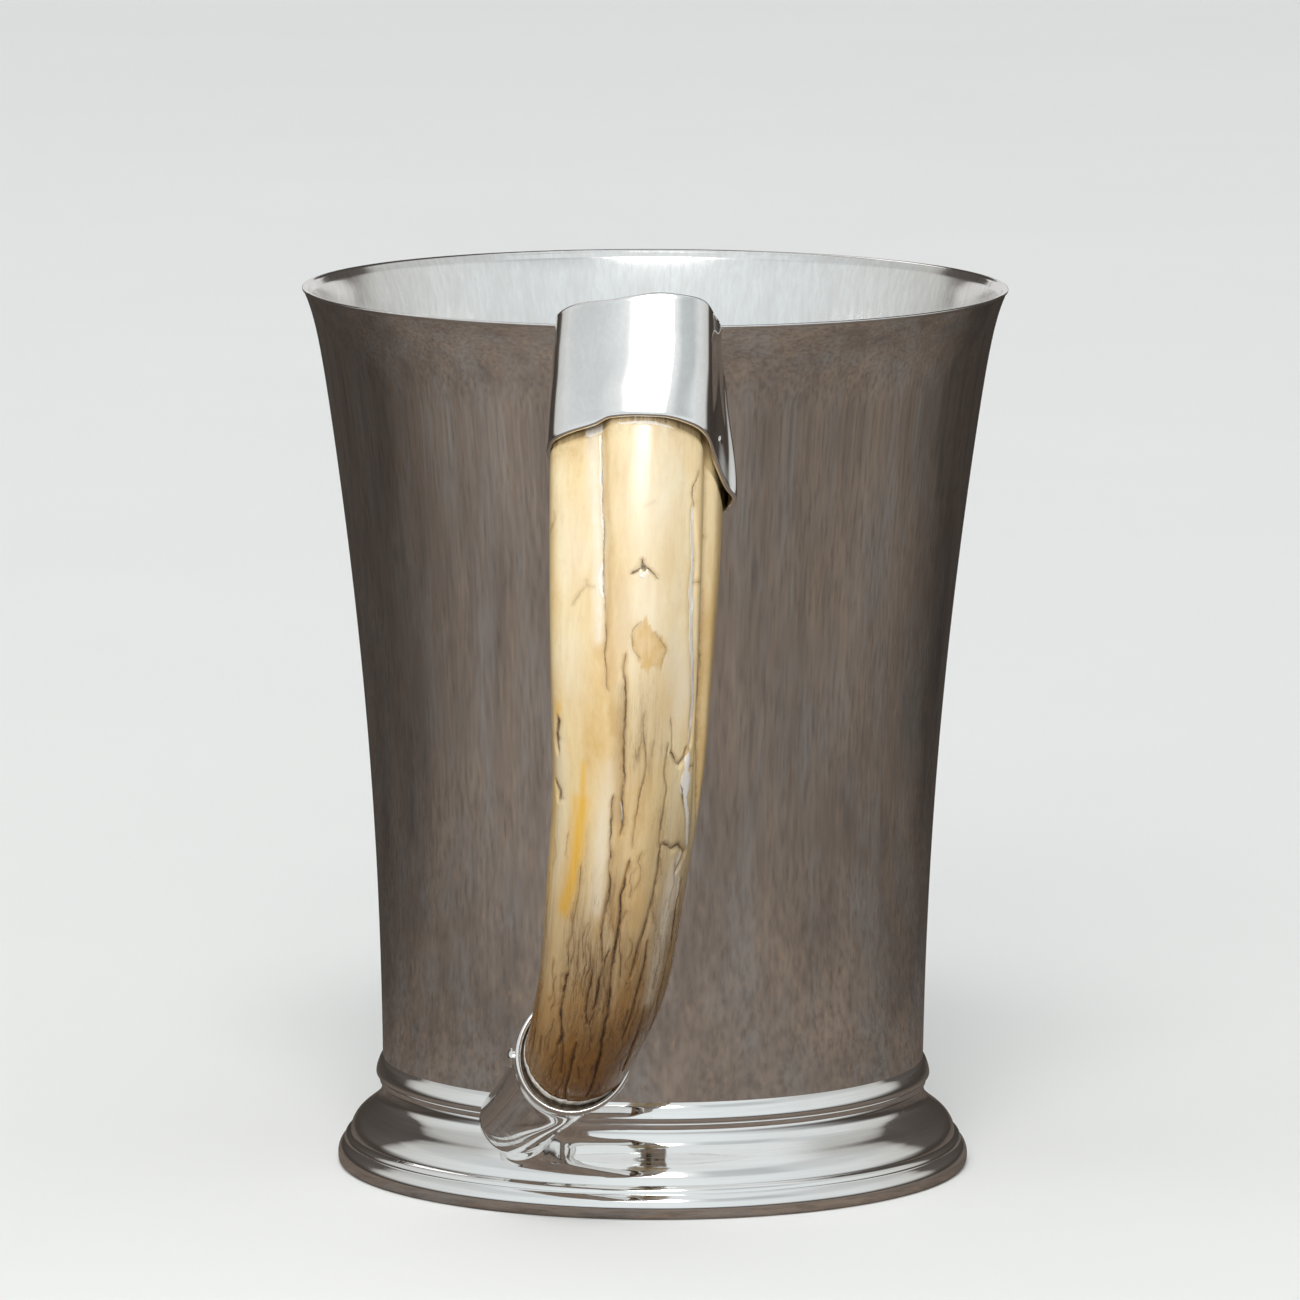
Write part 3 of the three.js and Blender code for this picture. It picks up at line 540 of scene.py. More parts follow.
# ------------------------------------------------------------------ tusk
# cracks and grooves: (knot, degrees) points, half width, depth and darkness
CRACKS = [
    ([(2.066, -26.3), (2.285, -25.0), (2.485, -23.8), (2.668, -23.1), (2.869, -22.2), (3.06, -22.2), (3.233, -20.3),
      (3.398, -19.7), (3.571, -18.7), (3.68, -18.7), (3.808, -18.4), (3.917, -17.8), (3.972, -15.6)], 0.16, 0.22, 0.55),
    ([(3.124, -34.8), (3.17, -34.8), (3.179, -28.5)], 0.09, 0.08, 0.45),
    ([(3.17, -34.8), (3.242, -40.1), (3.306, -45.8)], 0.09, 0.08, 0.45),
    ([(2.604, -61.5), (2.659, -60.0), (2.704, -63.0), (2.75, -69.0)], 0.10, 0.1, 0.5),
    ([(2.985, 7.1), (3.02, 7.3)], 0.2, 0.15, 0.85),
    ([(3.085, -0.6), (3.075, 2.0), (3.05, 5.4)], 0.24, 0.15, 0.85),
    ([(3.02, 7.2), (3.055, 7.6)], 0.7, 0.3, 0.85),
    ([(3.045, 9.6), (3.06, 12.0), (3.105, 16.0)], 0.22, 0.15, 0.85),
    ([(2.577, 12.7), (2.622, 6.5)], 0.06, 0.04, 0.2),
    ([(2.312, 47.1), (2.385, 44.8), (2.44, 41.6), (2.495, 40.8), (2.577, 42.0)], 0.12, 0.15, 0.6),
    ([(2.577, 42.6), (2.723, 43.2), (2.841, 44.0), (2.997, 44.8), (3.202, 45.5), (3.367, 46.4), (3.616, 48.6),
      (3.795, 51.0), (3.948, 53.0), (4.127, 52.6), (4.264, 52.0), (4.428, 51.8)], 0.42, 0.45, 0.12),
    ([(3.115, 45.0), (3.1, 55.0)], 0.09, 0.08, 0.5),
    ([(4.611, 53.0), (4.611, 60.0)], 0.12, 0.1, 0.7),
    ([(2.048, 60.9), (2.376, 63.1), (2.805, 64.7), (3.233, 67.5), (3.525, 69.7), (3.735, 70.7), (3.981, 72.2),
      (4.374, 74.4), (4.711, 76.3), (5.039, 78.5), (5.331, 84.0)], 0.17, 0.35, 0.5),
    ([(3.689, -3.6), (3.79, -3.9), (3.908, -2.4), (4.063, -2.0), (4.228, -2.4), (4.346, -2.4), (4.492, -2.0),
      (4.592, -2.4), (4.72, -2.7), (4.848, -3.0), (4.976, -2.7), (5.103, -1.1), (5.185, -2.7)], 0.2, 0.3, 0.8),
    ([(3.434, 5.8), (3.489, 1.4), (3.543, 0.2), (3.644, 1.4), (3.708, 5.8)], 0.1, 0.06, 0.4),
    ([(3.516, 16.5), (3.571, 21.6), (3.644, 26.0), (3.717, 23.8), (3.781, 23.1)], 0.11, 0.08, 0.45),
    ([(4.155, 11.2), (4.346, 12.1), (4.465, 14.0), (4.647, 13.7), (4.811, 10.5), (4.948, 9.6), (5.094, 8.7),
      (5.286, 8.0)], 0.14, 0.14, 0.55),
    ([(4.383, 19.4), (4.501, 18.1)], 0.12, 0.08, 0.4),
    ([(4.41, 31.6), (4.529, 29.4), (4.656, 29.1), (4.784, 32.6), (4.866, 31.6), (5.03, 29.7), (5.131, 28.8),
      (5.277, 29.7)], 0.16, 0.15, 0.6),
    ([(4.419, 9.3), (4.538, 8.0)], 0.12, 0.08, 0.4),
    ([(4.2, 32.6), (4.328, 35.4), (4.474, 34.8)], 0.13, 0.15, 0.45),
    ([(4.474, 34.8), (4.565, 38.9), (4.585, 42.4), (4.529, 47.6), (4.446, 49.4)], 0.22, 0.35, 0.95),
    ([(4.775, 45.8), (4.893, 49.4), (5.039, 55.2)], 0.17, 0.2, 0.9),
    ([(4.22, -61.0), (4.261, -60.4), (4.407, -65.2), (4.529, -62.9)], 0.6, 0.3, 0.9),
    ([(4.822, -73.0), (4.912, -62.4), (5.001, -64.7)], 0.55, 0.3, 0.9),
    ([(4.37, -63.0), (4.44, -63.6)], 0.95, 0.3, 0.8),
    ([(4.93, -62.4), (4.985, -63.4)], 0.85, 0.3, 0.8),
    ([(4.857, -9.9), (5.048, -10.9), (5.231, -9.3), (5.441, -8.7), (5.678, -7.4), (5.851, -7.4), (5.933, -8.7),
      (6.125, -9.3), (6.271, -8.3), (6.426, -6.5)], 0.2, 0.25, 0.8),
    ([(5.286, -50.8), (5.505, -52.7)], 0.11, 0.1, 0.45),
    ([(5.258, 32.6), (5.313, 42.6), (5.295, 51.1), (5.377, 62.0), (5.459, 58.4), (5.559, 52.1)], 0.3, 0.35, 0.7),
    ([(5.413, 6.1), (5.596, 3.9), (5.824, 3.3), (5.961, 3.9), (6.18, 3.6), (6.362, 2.4), (6.572, 2.7), (6.836, 3.3),
      (7.055, 3.9), (7.283, 3.9), (7.557, 5.8), (7.894, 8.3), (8.341, 11.5), (8.724, 10.5)], 0.26, 0.35, 0.95),
    ([(5.55, -33.8), (5.86, -34.5), (6.152, -37.6), (6.398, -40.8), (6.69, -38.6)], 0.14, 0.15, 0.6),
    ([(6.69, -38.6), (6.937, -42.3), (7.183, -42.6), (7.447, -40.1), (7.612, -34.5), (7.803, -36.0)], 0.32, 0.35, 0.95),
    ([(7.612, -34.5), (7.803, -29.7), (8.277, -25.0)], 0.18, 0.2, 0.85),
    ([(6.262, -29.4), (6.59, -28.8), (6.8, -30.1)], 0.14, 0.12, 0.65),
    ([(6.526, -14.9), (6.845, -15.9), (7.092, -15.9), (7.238, -13.4)], 0.16, 0.18, 0.8),
    ([(6.28, -1.7), (6.499, -5.8), (6.763, -8.7), (7.037, -9.0)], 0.2, 0.2, 0.85),
    ([(5.267, 31.0), (5.495, 31.6), (5.714, 30.7), (5.952, 28.5), (6.161, 24.1), (6.408, 20.3), (6.572, 18.7)],
     0.3, 0.25, 0.7),
    ([(6.198, 30.7), (6.398, 31.3), (6.636, 29.4), (6.882, 27.5), (7.119, 26.3), (7.447, 23.8)], 0.24, 0.25, 0.85),
    ([(7.0, 40.1), (7.311, 40.4), (7.63, 40.8), (8.022, 43.3), (8.223, 44.2)], 0.2, 0.25, 0.9),
    ([(5.651, 64.0), (5.924, 63.1), (6.344, 65.3), (6.663, 61.2), (7.019, 59.3), (7.575, 66.0)], 0.26, 0.3, 0.9),
    ([(7.657, -77.6), (8.305, -71.9), (9.208, -69.7)], 0.2, 0.2, 0.8),
    ([(7.593, -17.8), (8.031, -16.5), (8.496, -14.9), (8.898, -9.9)], 0.2, 0.22, 0.9),
    ([(8.022, -9.0), (8.268, -5.5)], 0.14, 0.12, 0.7),
    ([(7.94, -60.3), (8.277, -57.1)], 0.14, 0.12, 0.7),
    # the sides and back, out of the usual view, are cracked in the same way
    ([(4.9, 118), (5.6, 121), (6.3, 117), (7.1, 120), (7.9, 114)], 0.2, 0.25, 0.75),
    ([(3.9, 156), (4.7, 152), (5.6, 157), (6.6, 150), (7.6, 153), (8.5, 149)], 0.22, 0.28, 0.8),
    ([(5.4, -168), (6.2, -172), (7.0, -166), (7.9, -171), (8.7, -164)], 0.22, 0.26, 0.85),
    ([(4.4, -128), (5.1, -124), (5.9, -129), (6.8, -123), (7.8, -127), (8.6, -118)], 0.22, 0.26, 0.8),
    ([(6.1, -98), (6.9, -101), (7.7, -96), (8.6, -99)], 0.2, 0.22, 0.8),
    ([(6.4, 92), (7.0, 96), (7.8, 90), (8.5, 95)], 0.2, 0.22, 0.8),
    ([(3.1, 132), (3.7, 135), (4.4, 131)], 0.14, 0.15, 0.5),
    ([(3.3, -150), (4.0, -146), (4.9, -149)], 0.14, 0.15, 0.5),
]
CHALK = [  # white filling in the grooves
    ([(2.577, 42.0), (2.723, 42.6), (2.841, 43.4), (2.997, 44.2), (3.202, 44.9), (3.367, 45.8), (3.616, 48.0),
      (3.795, 50.4), (3.948, 52.4), (4.127, 52.0), (4.264, 51.4), (4.428, 51.2)], 0.42, 0.95),
    ([(4.5, 50.8), (4.647, 50.4)], 0.55, 1.0),
    ([(4.647, 50.2), (4.775, 50.2), (4.86, 51.8)], 1.05, 1.0),
    ([(4.86, 51.8), (5.012, 56.0), (5.14, 60.0), (5.331, 64.4)], 0.42, 0.95),
    ([(3.0, -24.0), (3.1, -24.9), (3.18, -23.6), (3.252, -21.6)], 0.36, 0.85),
    ([(2.14, -25.6), (2.485, -24.2), (2.869, -22.8)], 0.14, 0.6),
    ([(3.098, 4.4), (3.108, 6.8)], 0.3, 0.95),
    ([(3.075, 9.3), (3.09, 10.5)], 0.16, 0.7),
    ([(4.9, -2.9), (4.976, -2.7), (5.06, -1.8)], 0.12, 0.8),
    ([(5.36, 57.0), (5.45, 53.0)], 0.5, 0.5),
    ([(2.065, -37.0), (2.05, -31.0), (2.035, -25.0)], 0.4, 0.8),
    ([(2.0, -12.0), (1.995, 0.0), (1.998, 12.0), (2.02, 24.0)], 0.28, 0.6),
    ([(5.6, 58.0), (5.75, 60.0), (5.95, 60.5)], 0.35, 0.55),
]

COLS, ROWS = 306, 316
d_ang = np.linspace(-180, 180, 2001)
dens = 1.0 + 2.6 * np.exp(-((d_ang / 78) ** 2))
cum = np.concatenate([[0], np.cumsum((dens[1:] + dens[:-1]) / 2)])
T_ANG = np.radians(np.interp(np.arange(COLS) / COLS * cum[-1], cum, d_ang))

knots = np.linspace(0, 10, 2001)
arc = np.concatenate([[0], np.cumsum(np.linalg.norm(np.diff(centre(knots), axis=0), axis=1))])
arc_of = lambda t: np.interp(t, knots, arc)
knot_of = lambda s_: np.interp(s_, arc, knots)
mean_r = lambda t: 0.5 * (spline(TUSK_A, t) + spline(TUSK_B, t))

low_edge = low_knot(T_ANG)
steps = np.linspace(0, 1, ROWS)
bare_t = (low_edge + 0.02)[None, :] * (1 - steps[:, None]) + TUSK_TIP * steps[:, None]
bare_a = np.broadcast_to(T_ANG[None, :], bare_t.shape)
bare_d = np.degrees(bare_a)
bare_s = arc_of(bare_t)
bare_scale = np.radians(1) * mean_r(bare_t)
from_collar = bare_s - arc_of(low_edge)[None, :]  # mm below the collar's edge


def across(points, deg=None):
    """Signed distance (mm) from a line of (knot, degrees) points, the plain distance, the place along it from
    0 to 1 and how far a point lies past its ends."""
    deg = bare_d if deg is None else deg
    q_ = np.array(points, float)
    s_ = arc_of(q_[:, 0])
    best, signed = np.full(deg.shape, 1e9), np.zeros(deg.shape)
    where, past = np.zeros(deg.shape), np.zeros(deg.shape)
    last = len(q_) - 2
    for i in range(last + 1):
        dx, dy = (q_[i + 1, 1] - q_[i, 1]) * bare_scale, s_[i + 1] - s_[i]
        ex, ey = ((deg - q_[i, 1] + 180) % 360 - 180) * bare_scale, bare_s - s_[i]
        size = np.sqrt(np.maximum(dx * dx + dy * dy, 1e-9))
        raw = (ex * dx + ey * dy) / size**2
        f = np.clip(raw, 0, 1)
        dist = np.hypot(ex - f * dx, ey - f * dy)
        near = dist < best
        best = np.where(near, dist, best)
        signed = np.where(near, np.where(ex * dy - ey * dx < 0, -dist, dist), signed)
        where = np.where(near, (i + f) / (last + 1), where)
        over = np.zeros(deg.shape)
        if i == 0:
            over = np.maximum(over, -raw * size)
        if i == last:
            over = np.maximum(over, (raw - 1) * size)
        past = np.where(near, over, past)
    return signed, best, where, past


def band(points, half):
    """1 along a line, fading out over about half mm to each side."""
    _, dist, _, _ = across(points, bare_d + 3.0 * RAGGED)
    return np.exp(-((dist / half) ** 2))


def spot(t0, d0, half_t, half_d):
    """1 at a place, fading out over the half sizes in mm along and round the tusk."""
    e = ((bare_d + 4.0 * RAGGED - d0 + 180) % 360 - 180) * bare_scale
    return np.exp(-(((bare_s + 1.6 * RAGGED2 - arc_of(t0)) / half_t) ** 2 + (e / half_d) ** 2))


RAGGED = 0.6 * wobble(bare_d * 0.13, bare_s * 0.11, 12) + 0.4 * wobble(bare_d * 0.32, bare_s * 0.3, 13)
RAGGED2 = 0.6 * wobble(bare_d * 0.16, bare_s * 0.2, 14) + 0.4 * wobble(bare_d * 0.5, bare_s * 0.5, 15)


def sampled(points):
    q_ = np.array(points, float)
    flat_ = np.stack([np.radians(q_[:, 1]) * mean_r(q_[:, 0]), arc_of(q_[:, 0])], 1)
    out = [flat_[:1]]
    for a_, b_ in zip(flat_[:-1], flat_[1:]):
        n_ = max(2, int(np.linalg.norm(b_ - a_) / 0.4))
        out.append(a_ + (b_ - a_) * np.linspace(0, 1, n_)[1:, None])
    return np.concatenate(out)


def grouped(lines, reach):
    """Share lines out into sets whose members keep clear of each other."""
    sets = []
    for line in lines:
        pts_ = sampled(line[0])
        for members in sets:
            if all(np.min(np.linalg.norm(pts_[:, None] - m_[None], axis=2)) > reach + line[1] for m_, _ in members):
                members.append((pts_, line))
                break
        else:
            sets.append([(pts_, line)])
    return [[line for _, line in members] for members in sets]


# short cracks of the worn part, scattered in a fixed pattern
short = []
for n in range(46):
    u_, v_, w_ = (float(hashed(np.array([n]), np.array([c]), 71)[0]) for c in (1, 2, 3))
    t0, d0 = 5.3 + 3.3 * u_, -84 + 168 * v_
    size = 3.0 + 8.0 * w_
    line = []
    for i in range(5):
        s_ = arc_of(t0) + size * i / 4
        t_ = float(knot_of(s_))
        line.append((t_, d0 + (2.2 * math.sin(1.7 * i + 3 * n) + (w_ - 0.5) * i * 1.6)))
    if line[-1][0] < 9.2:
        short.append((line, 0.07 + 0.05 * u_, 0.05, 0.45 + 0.35 * w_))
crack_sets = grouped(CRACKS + short, 2.3)
chalk_sets = grouped([(pts_, half, 0.0, full) for pts_, half, full in CHALK], 2.9)

relief = np.zeros_like(bare_t)
crack_fields, chalk_fields = [], []
count = 0
for sets, fields, wide in ((crack_sets, crack_fields, 1.0), (chalk_sets, chalk_fields, 1.15)):
    for members in sets:
        field = np.zeros(bare_t.shape + (3,))
        field[..., 2] = 0.1
        nearest = np.full(bare_t.shape, 1e9)
        for points, half, depth, dark in members:
            count += 1
            wig = bare_d + 0.9 * wobble(bare_s * 0.55, bare_d * 0.02, 60 + count)
            signed, dist, where, past = across(points, wig)
            thick = half * (0.35 + 0.65 * np.sin(np.pi * np.clip(where, 0, 1)) ** 0.5) * wide
            mask = (1 - fade(dist, half + 0.4, half + 0.95)) * (1 - fade(past, 0.0, 0.5))
            take = dist < nearest
            nearest = np.where(take, dist, nearest)
            field[..., 0] = np.where(take, signed, field[..., 0])
            field[..., 1] = np.where(take, mask * dark, field[..., 1])
            field[..., 2] = np.where(take, np.maximum(thick, 0.05), field[..., 2])
            if depth:
                relief = np.minimum(relief, -depth * np.exp(-((dist / np.maximum(thick * 1.5, 0.16)) ** 2)))
        fields.append(field)
filled = np.max([f[..., 1] * np.exp(-((f[..., 0] / (f[..., 2] + 0.1)) ** 2)) for f in chalk_fields], axis=0)
relief = relief * (1 - 0.4 * np.clip(filled, 0, 1))

# places of each colour
worn = np.clip(0.38 * spot(4.22, 13.0, 9.0, 3.4) + 0.5 * spot(4.75, 14.0, 9.0, 4.0), 0, 1)
tide = bare_t + 0.55 * RAGGED + 0.6 * fade(bare_d, 2, 24) * (1 - fade(bare_d, 70, 110))
worn = np.maximum(worn, fade(tide, 4.7, 6.2) * (0.6 + 0.4 * fade(bare_t, 5.2, 7.0)))
worn *= 1 - 0.8 * np.exp(-(((bare_d + 58) / 18) ** 2)) * (1 - fade(bare_t, 7.2, 8.8))
worn *= 1 - 0.7 * spot(5.65, 15.5, 9.0, 2.4)
worn = np.maximum(worn, 0.5 * band([(3.95, -4.5), (4.5, -5.0), (5.05, -5.0)], 1.0))
worn = np.maximum(worn, 0.55 * spot(2.5, 84.0, 4.0, 2.6))
orange = band([(4.95, -37.8), (5.224, -38.9), (5.46, -39.6), (5.652, -41.2), (5.85, -44.8), (6.0, -48.5)], 1.45)
orange = np.maximum(orange, 0.8 * band([(4.62, -35.6), (4.8, -36.9), (5.1, -38.4)], 0.75))
orange = np.maximum(orange, 0.6 * spot(4.17, -58.7, 1.3, 0.8))
orange = np.maximum(orange, 0.42 * band([(2.3, -82.0), (3.2, -80.0), (4.0, -78.0), (5.0, -78.0), (6.0, -80.0)], 1.5))
lance_d = bare_d + 2.2 * RAGGED + 1.8 * wobble(bare_d * 0.9, bare_s * 1.5, 31)
lance_t = bare_t + 0.035 * wobble(bare_d * 0.55, bare_s * 0.1, 33) + 0.02 * wobble(bare_d * 1.3, bare_s * 0.3, 34)
lance_l = through([3.38, 3.434, 3.489, 3.543, 3.644, 3.708, 3.80], [9.0, 5.8, 1.4, 0.2, 1.4, 5.8, 12.0], lance_t)
lance_r = through([3.38, 3.434, 3.516, 3.571, 3.644, 3.717, 3.80], [9.5, 12.7, 16.5, 21.6, 26.0, 23.8, 20.0], lance_t)
lance = fade(lance_d, lance_l - 0.7, lance_l + 0.7) * (1 - fade(lance_d, lance_r - 0.7, lance_r + 0.7)) \
    * fade(lance_t, 3.36, 3.42) * (1 - fade(lance_t, 3.74, 3.82))
lance_rim = np.exp(-(((lance - 0.45) / 0.3) ** 2)) * fade(lance, 0.02, 0.25) * fade(bare_t, 3.40, 3.48)
ochre = lance * np.clip(0.85 + 0.3 * wobble(bare_d * 0.3, bare_s * 0.7, 32) + 0.25 * wobble(bare_d * 1.1, bare_s * 0.16, 35), 0.2, 1)
for place in ((0.8, 4.4, -26.0, 6.0, 2.9), (0.5, 4.85, 14.0, 7.0, 2.8), (0.65, 6.9, 17.0, 9.0, 2.3), (0.4, 5.75, 17.0, 6.5, 2.2),
              (0.35, 3.9, 30.0, 6.0, 2.0), (0.45, 5.1, 22.0, 5.0, 1.6), (0.4, 7.9, 0.0, 7.0, 6.0),
              (0.45, 4.05, -62.0, 6.0, 2.6), (0.3, 3.05, -66.0, 9.0, 2.2)):
    ochre = np.maximum(ochre, place[0] * spot(*place[1:]))
ochre = np.maximum(ochre, 0.75 * band([(2.5, 88.0), (3.3, 87.0), (4.0, 87.0), (4.8, 88.0)], 2.8))
# Tan: the spearhead patch's rim and the small patches just under the collar are tan stain; the band right of the groove
# at about -20° to -11° and the rim down the far left side near -84° are painted shade.
tan = 0.75 * lance_rim
tan = np.maximum(tan, 0.5 * np.exp(-(((bare_d + 84) / 13) ** 2)) * (1 - fade(bare_t, 4.2, 5.6)))
tan = np.maximum(tan, 0.55 * band([(2.05, -20.5), (2.6, -18.0), (3.2, -16.0), (3.9, -13.0), (4.3, -11.0)], 0.75))
tan = np.maximum(tan, 0.5 * band([(2.25, 53.0), (3.0, 56.0), (3.8, 65.5), (4.4, 67.5)], 1.0))
tan = np.maximum(tan, 0.3 * band([(2.1, 33.0), (2.7, 34.0), (3.3, 37.0)], 1.3))
for place in ((0.6, 2.13, -48.0, 2.6, 4.6), (0.4, 2.1, 33.0, 3.4, 1.6), (0.35, 2.7, -62.0, 5.0, 2.0),
              (0.4, 3.25, -7.0, 6.0, 1.1), (0.35, 2.45, -10.0, 6.0, 1.0), (0.3, 3.0, 25.0, 4.0, 2.0)):
    tan = np.maximum(tan, place[0] * spot(*place[1:]))
# Whitish places: partly the enamel's own paler patches, partly painted highlight: the band left of the groove at about
# -28°, the broad spots at 8-10° on the middle lobe's top, and the spot at about 44° low on the right that lifts a side
# in shade.
pale_and_highlight = 0.85 * band([(2.1, -30.5), (2.6, -28.5), (3.2, -25.5), (3.55, -24.5)], 1.15)
pale_and_highlight = np.maximum(pale_and_highlight, 0.6 * band([(4.6, -15.0), (5.2, -17.5), (5.9, -16.0)], 1.2))
rib = band([(5.5, 51.5), (5.91, 49.0), (6.33, 45.6), (6.93, 43.4)], 1.6)
pale_and_highlight = np.maximum(pale_and_highlight, 0.85 * rib)
for place in ((0.5, 2.35, 8.0, 6.0, 2.6), (0.45, 2.9, -42.0, 7.0, 3.0), (0.4, 3.8, -45.0, 7.0, 2.4),
              (0.4, 4.7, -60.0, 6.0, 1.8), (0.35, 3.25, 33.0, 6.0, 1.8), (0.65, 3.95, 40.0, 7.0, 2.6),
              (0.6, 2.5, 10.0, 12.0, 4.6), (0.5, 3.35, 9.0, 10.0, 4.2), (0.3, 5.45, -57.0, 9.0, 2.6),
              (0.65, 3.75, 34.5, 6.0, 2.4), (0.5, 6.0, 44.5, 4.0, 2.0)):
    pale_and_highlight = np.maximum(pale_and_highlight, place[0] * spot(*place[1:]))
# A dark brown line just under the collar's lower edge: partly dark residue, partly painted shadow of the collar's edge.
edge = np.exp(-((from_collar / (0.32 + 0.36 * (1 + wobble(bare_d * 0.12, 0 * bare_d, 21)))) ** 2))
edge = np.maximum(edge, 0.3 * np.exp(-((from_collar / 2.2) ** 2)) * fade(RAGGED, -0.1, 0.5))
# Darker towards the tip: partly the dentine's own brown, partly painted shade on the lower, right-hand side that turns
# away from the light.
low = fade(bare_t + 0.3 * RAGGED + 0.3 * fade(bare_d, 5, 35) * (1 - fade(bare_d, 95, 125)), 4.9, 8.3)
low *= (1 - 0.45 * np.exp(-(((bare_d + 58) / 17) ** 2)) * (1 - 0.55 * fade(bare_t, 6.5, 7.4))) * (1 - 0.5 * rib)
amber = band([(5.35, 14.5), (5.6, 16.2), (6.0, 18.6)], 1.3)
ochre = np.maximum(ochre, 0.45 * amber)
low *= 1 - 0.3 * amber
low += 0.34 * band([(4.15, -5.9), (4.55, -6.1), (4.9, -5.9), (5.25, -5.4), (5.6, -3.9), (5.97, -2.1)], 1.3)

shoulder = -0.5 * np.exp(-((from_collar / 0.6) ** 2))
grainy = 0.03 * wobble(bare_d * 0.30, bare_s * 0.05, 3) * fade(bare_t, 4.0, 6.0) \
    + 0.05 * wobble(bare_d * 0.055, bare_s * 0.06, 4) - 0.09
bare = section(bare_t, bare_a, relief + shoulder + grainy)

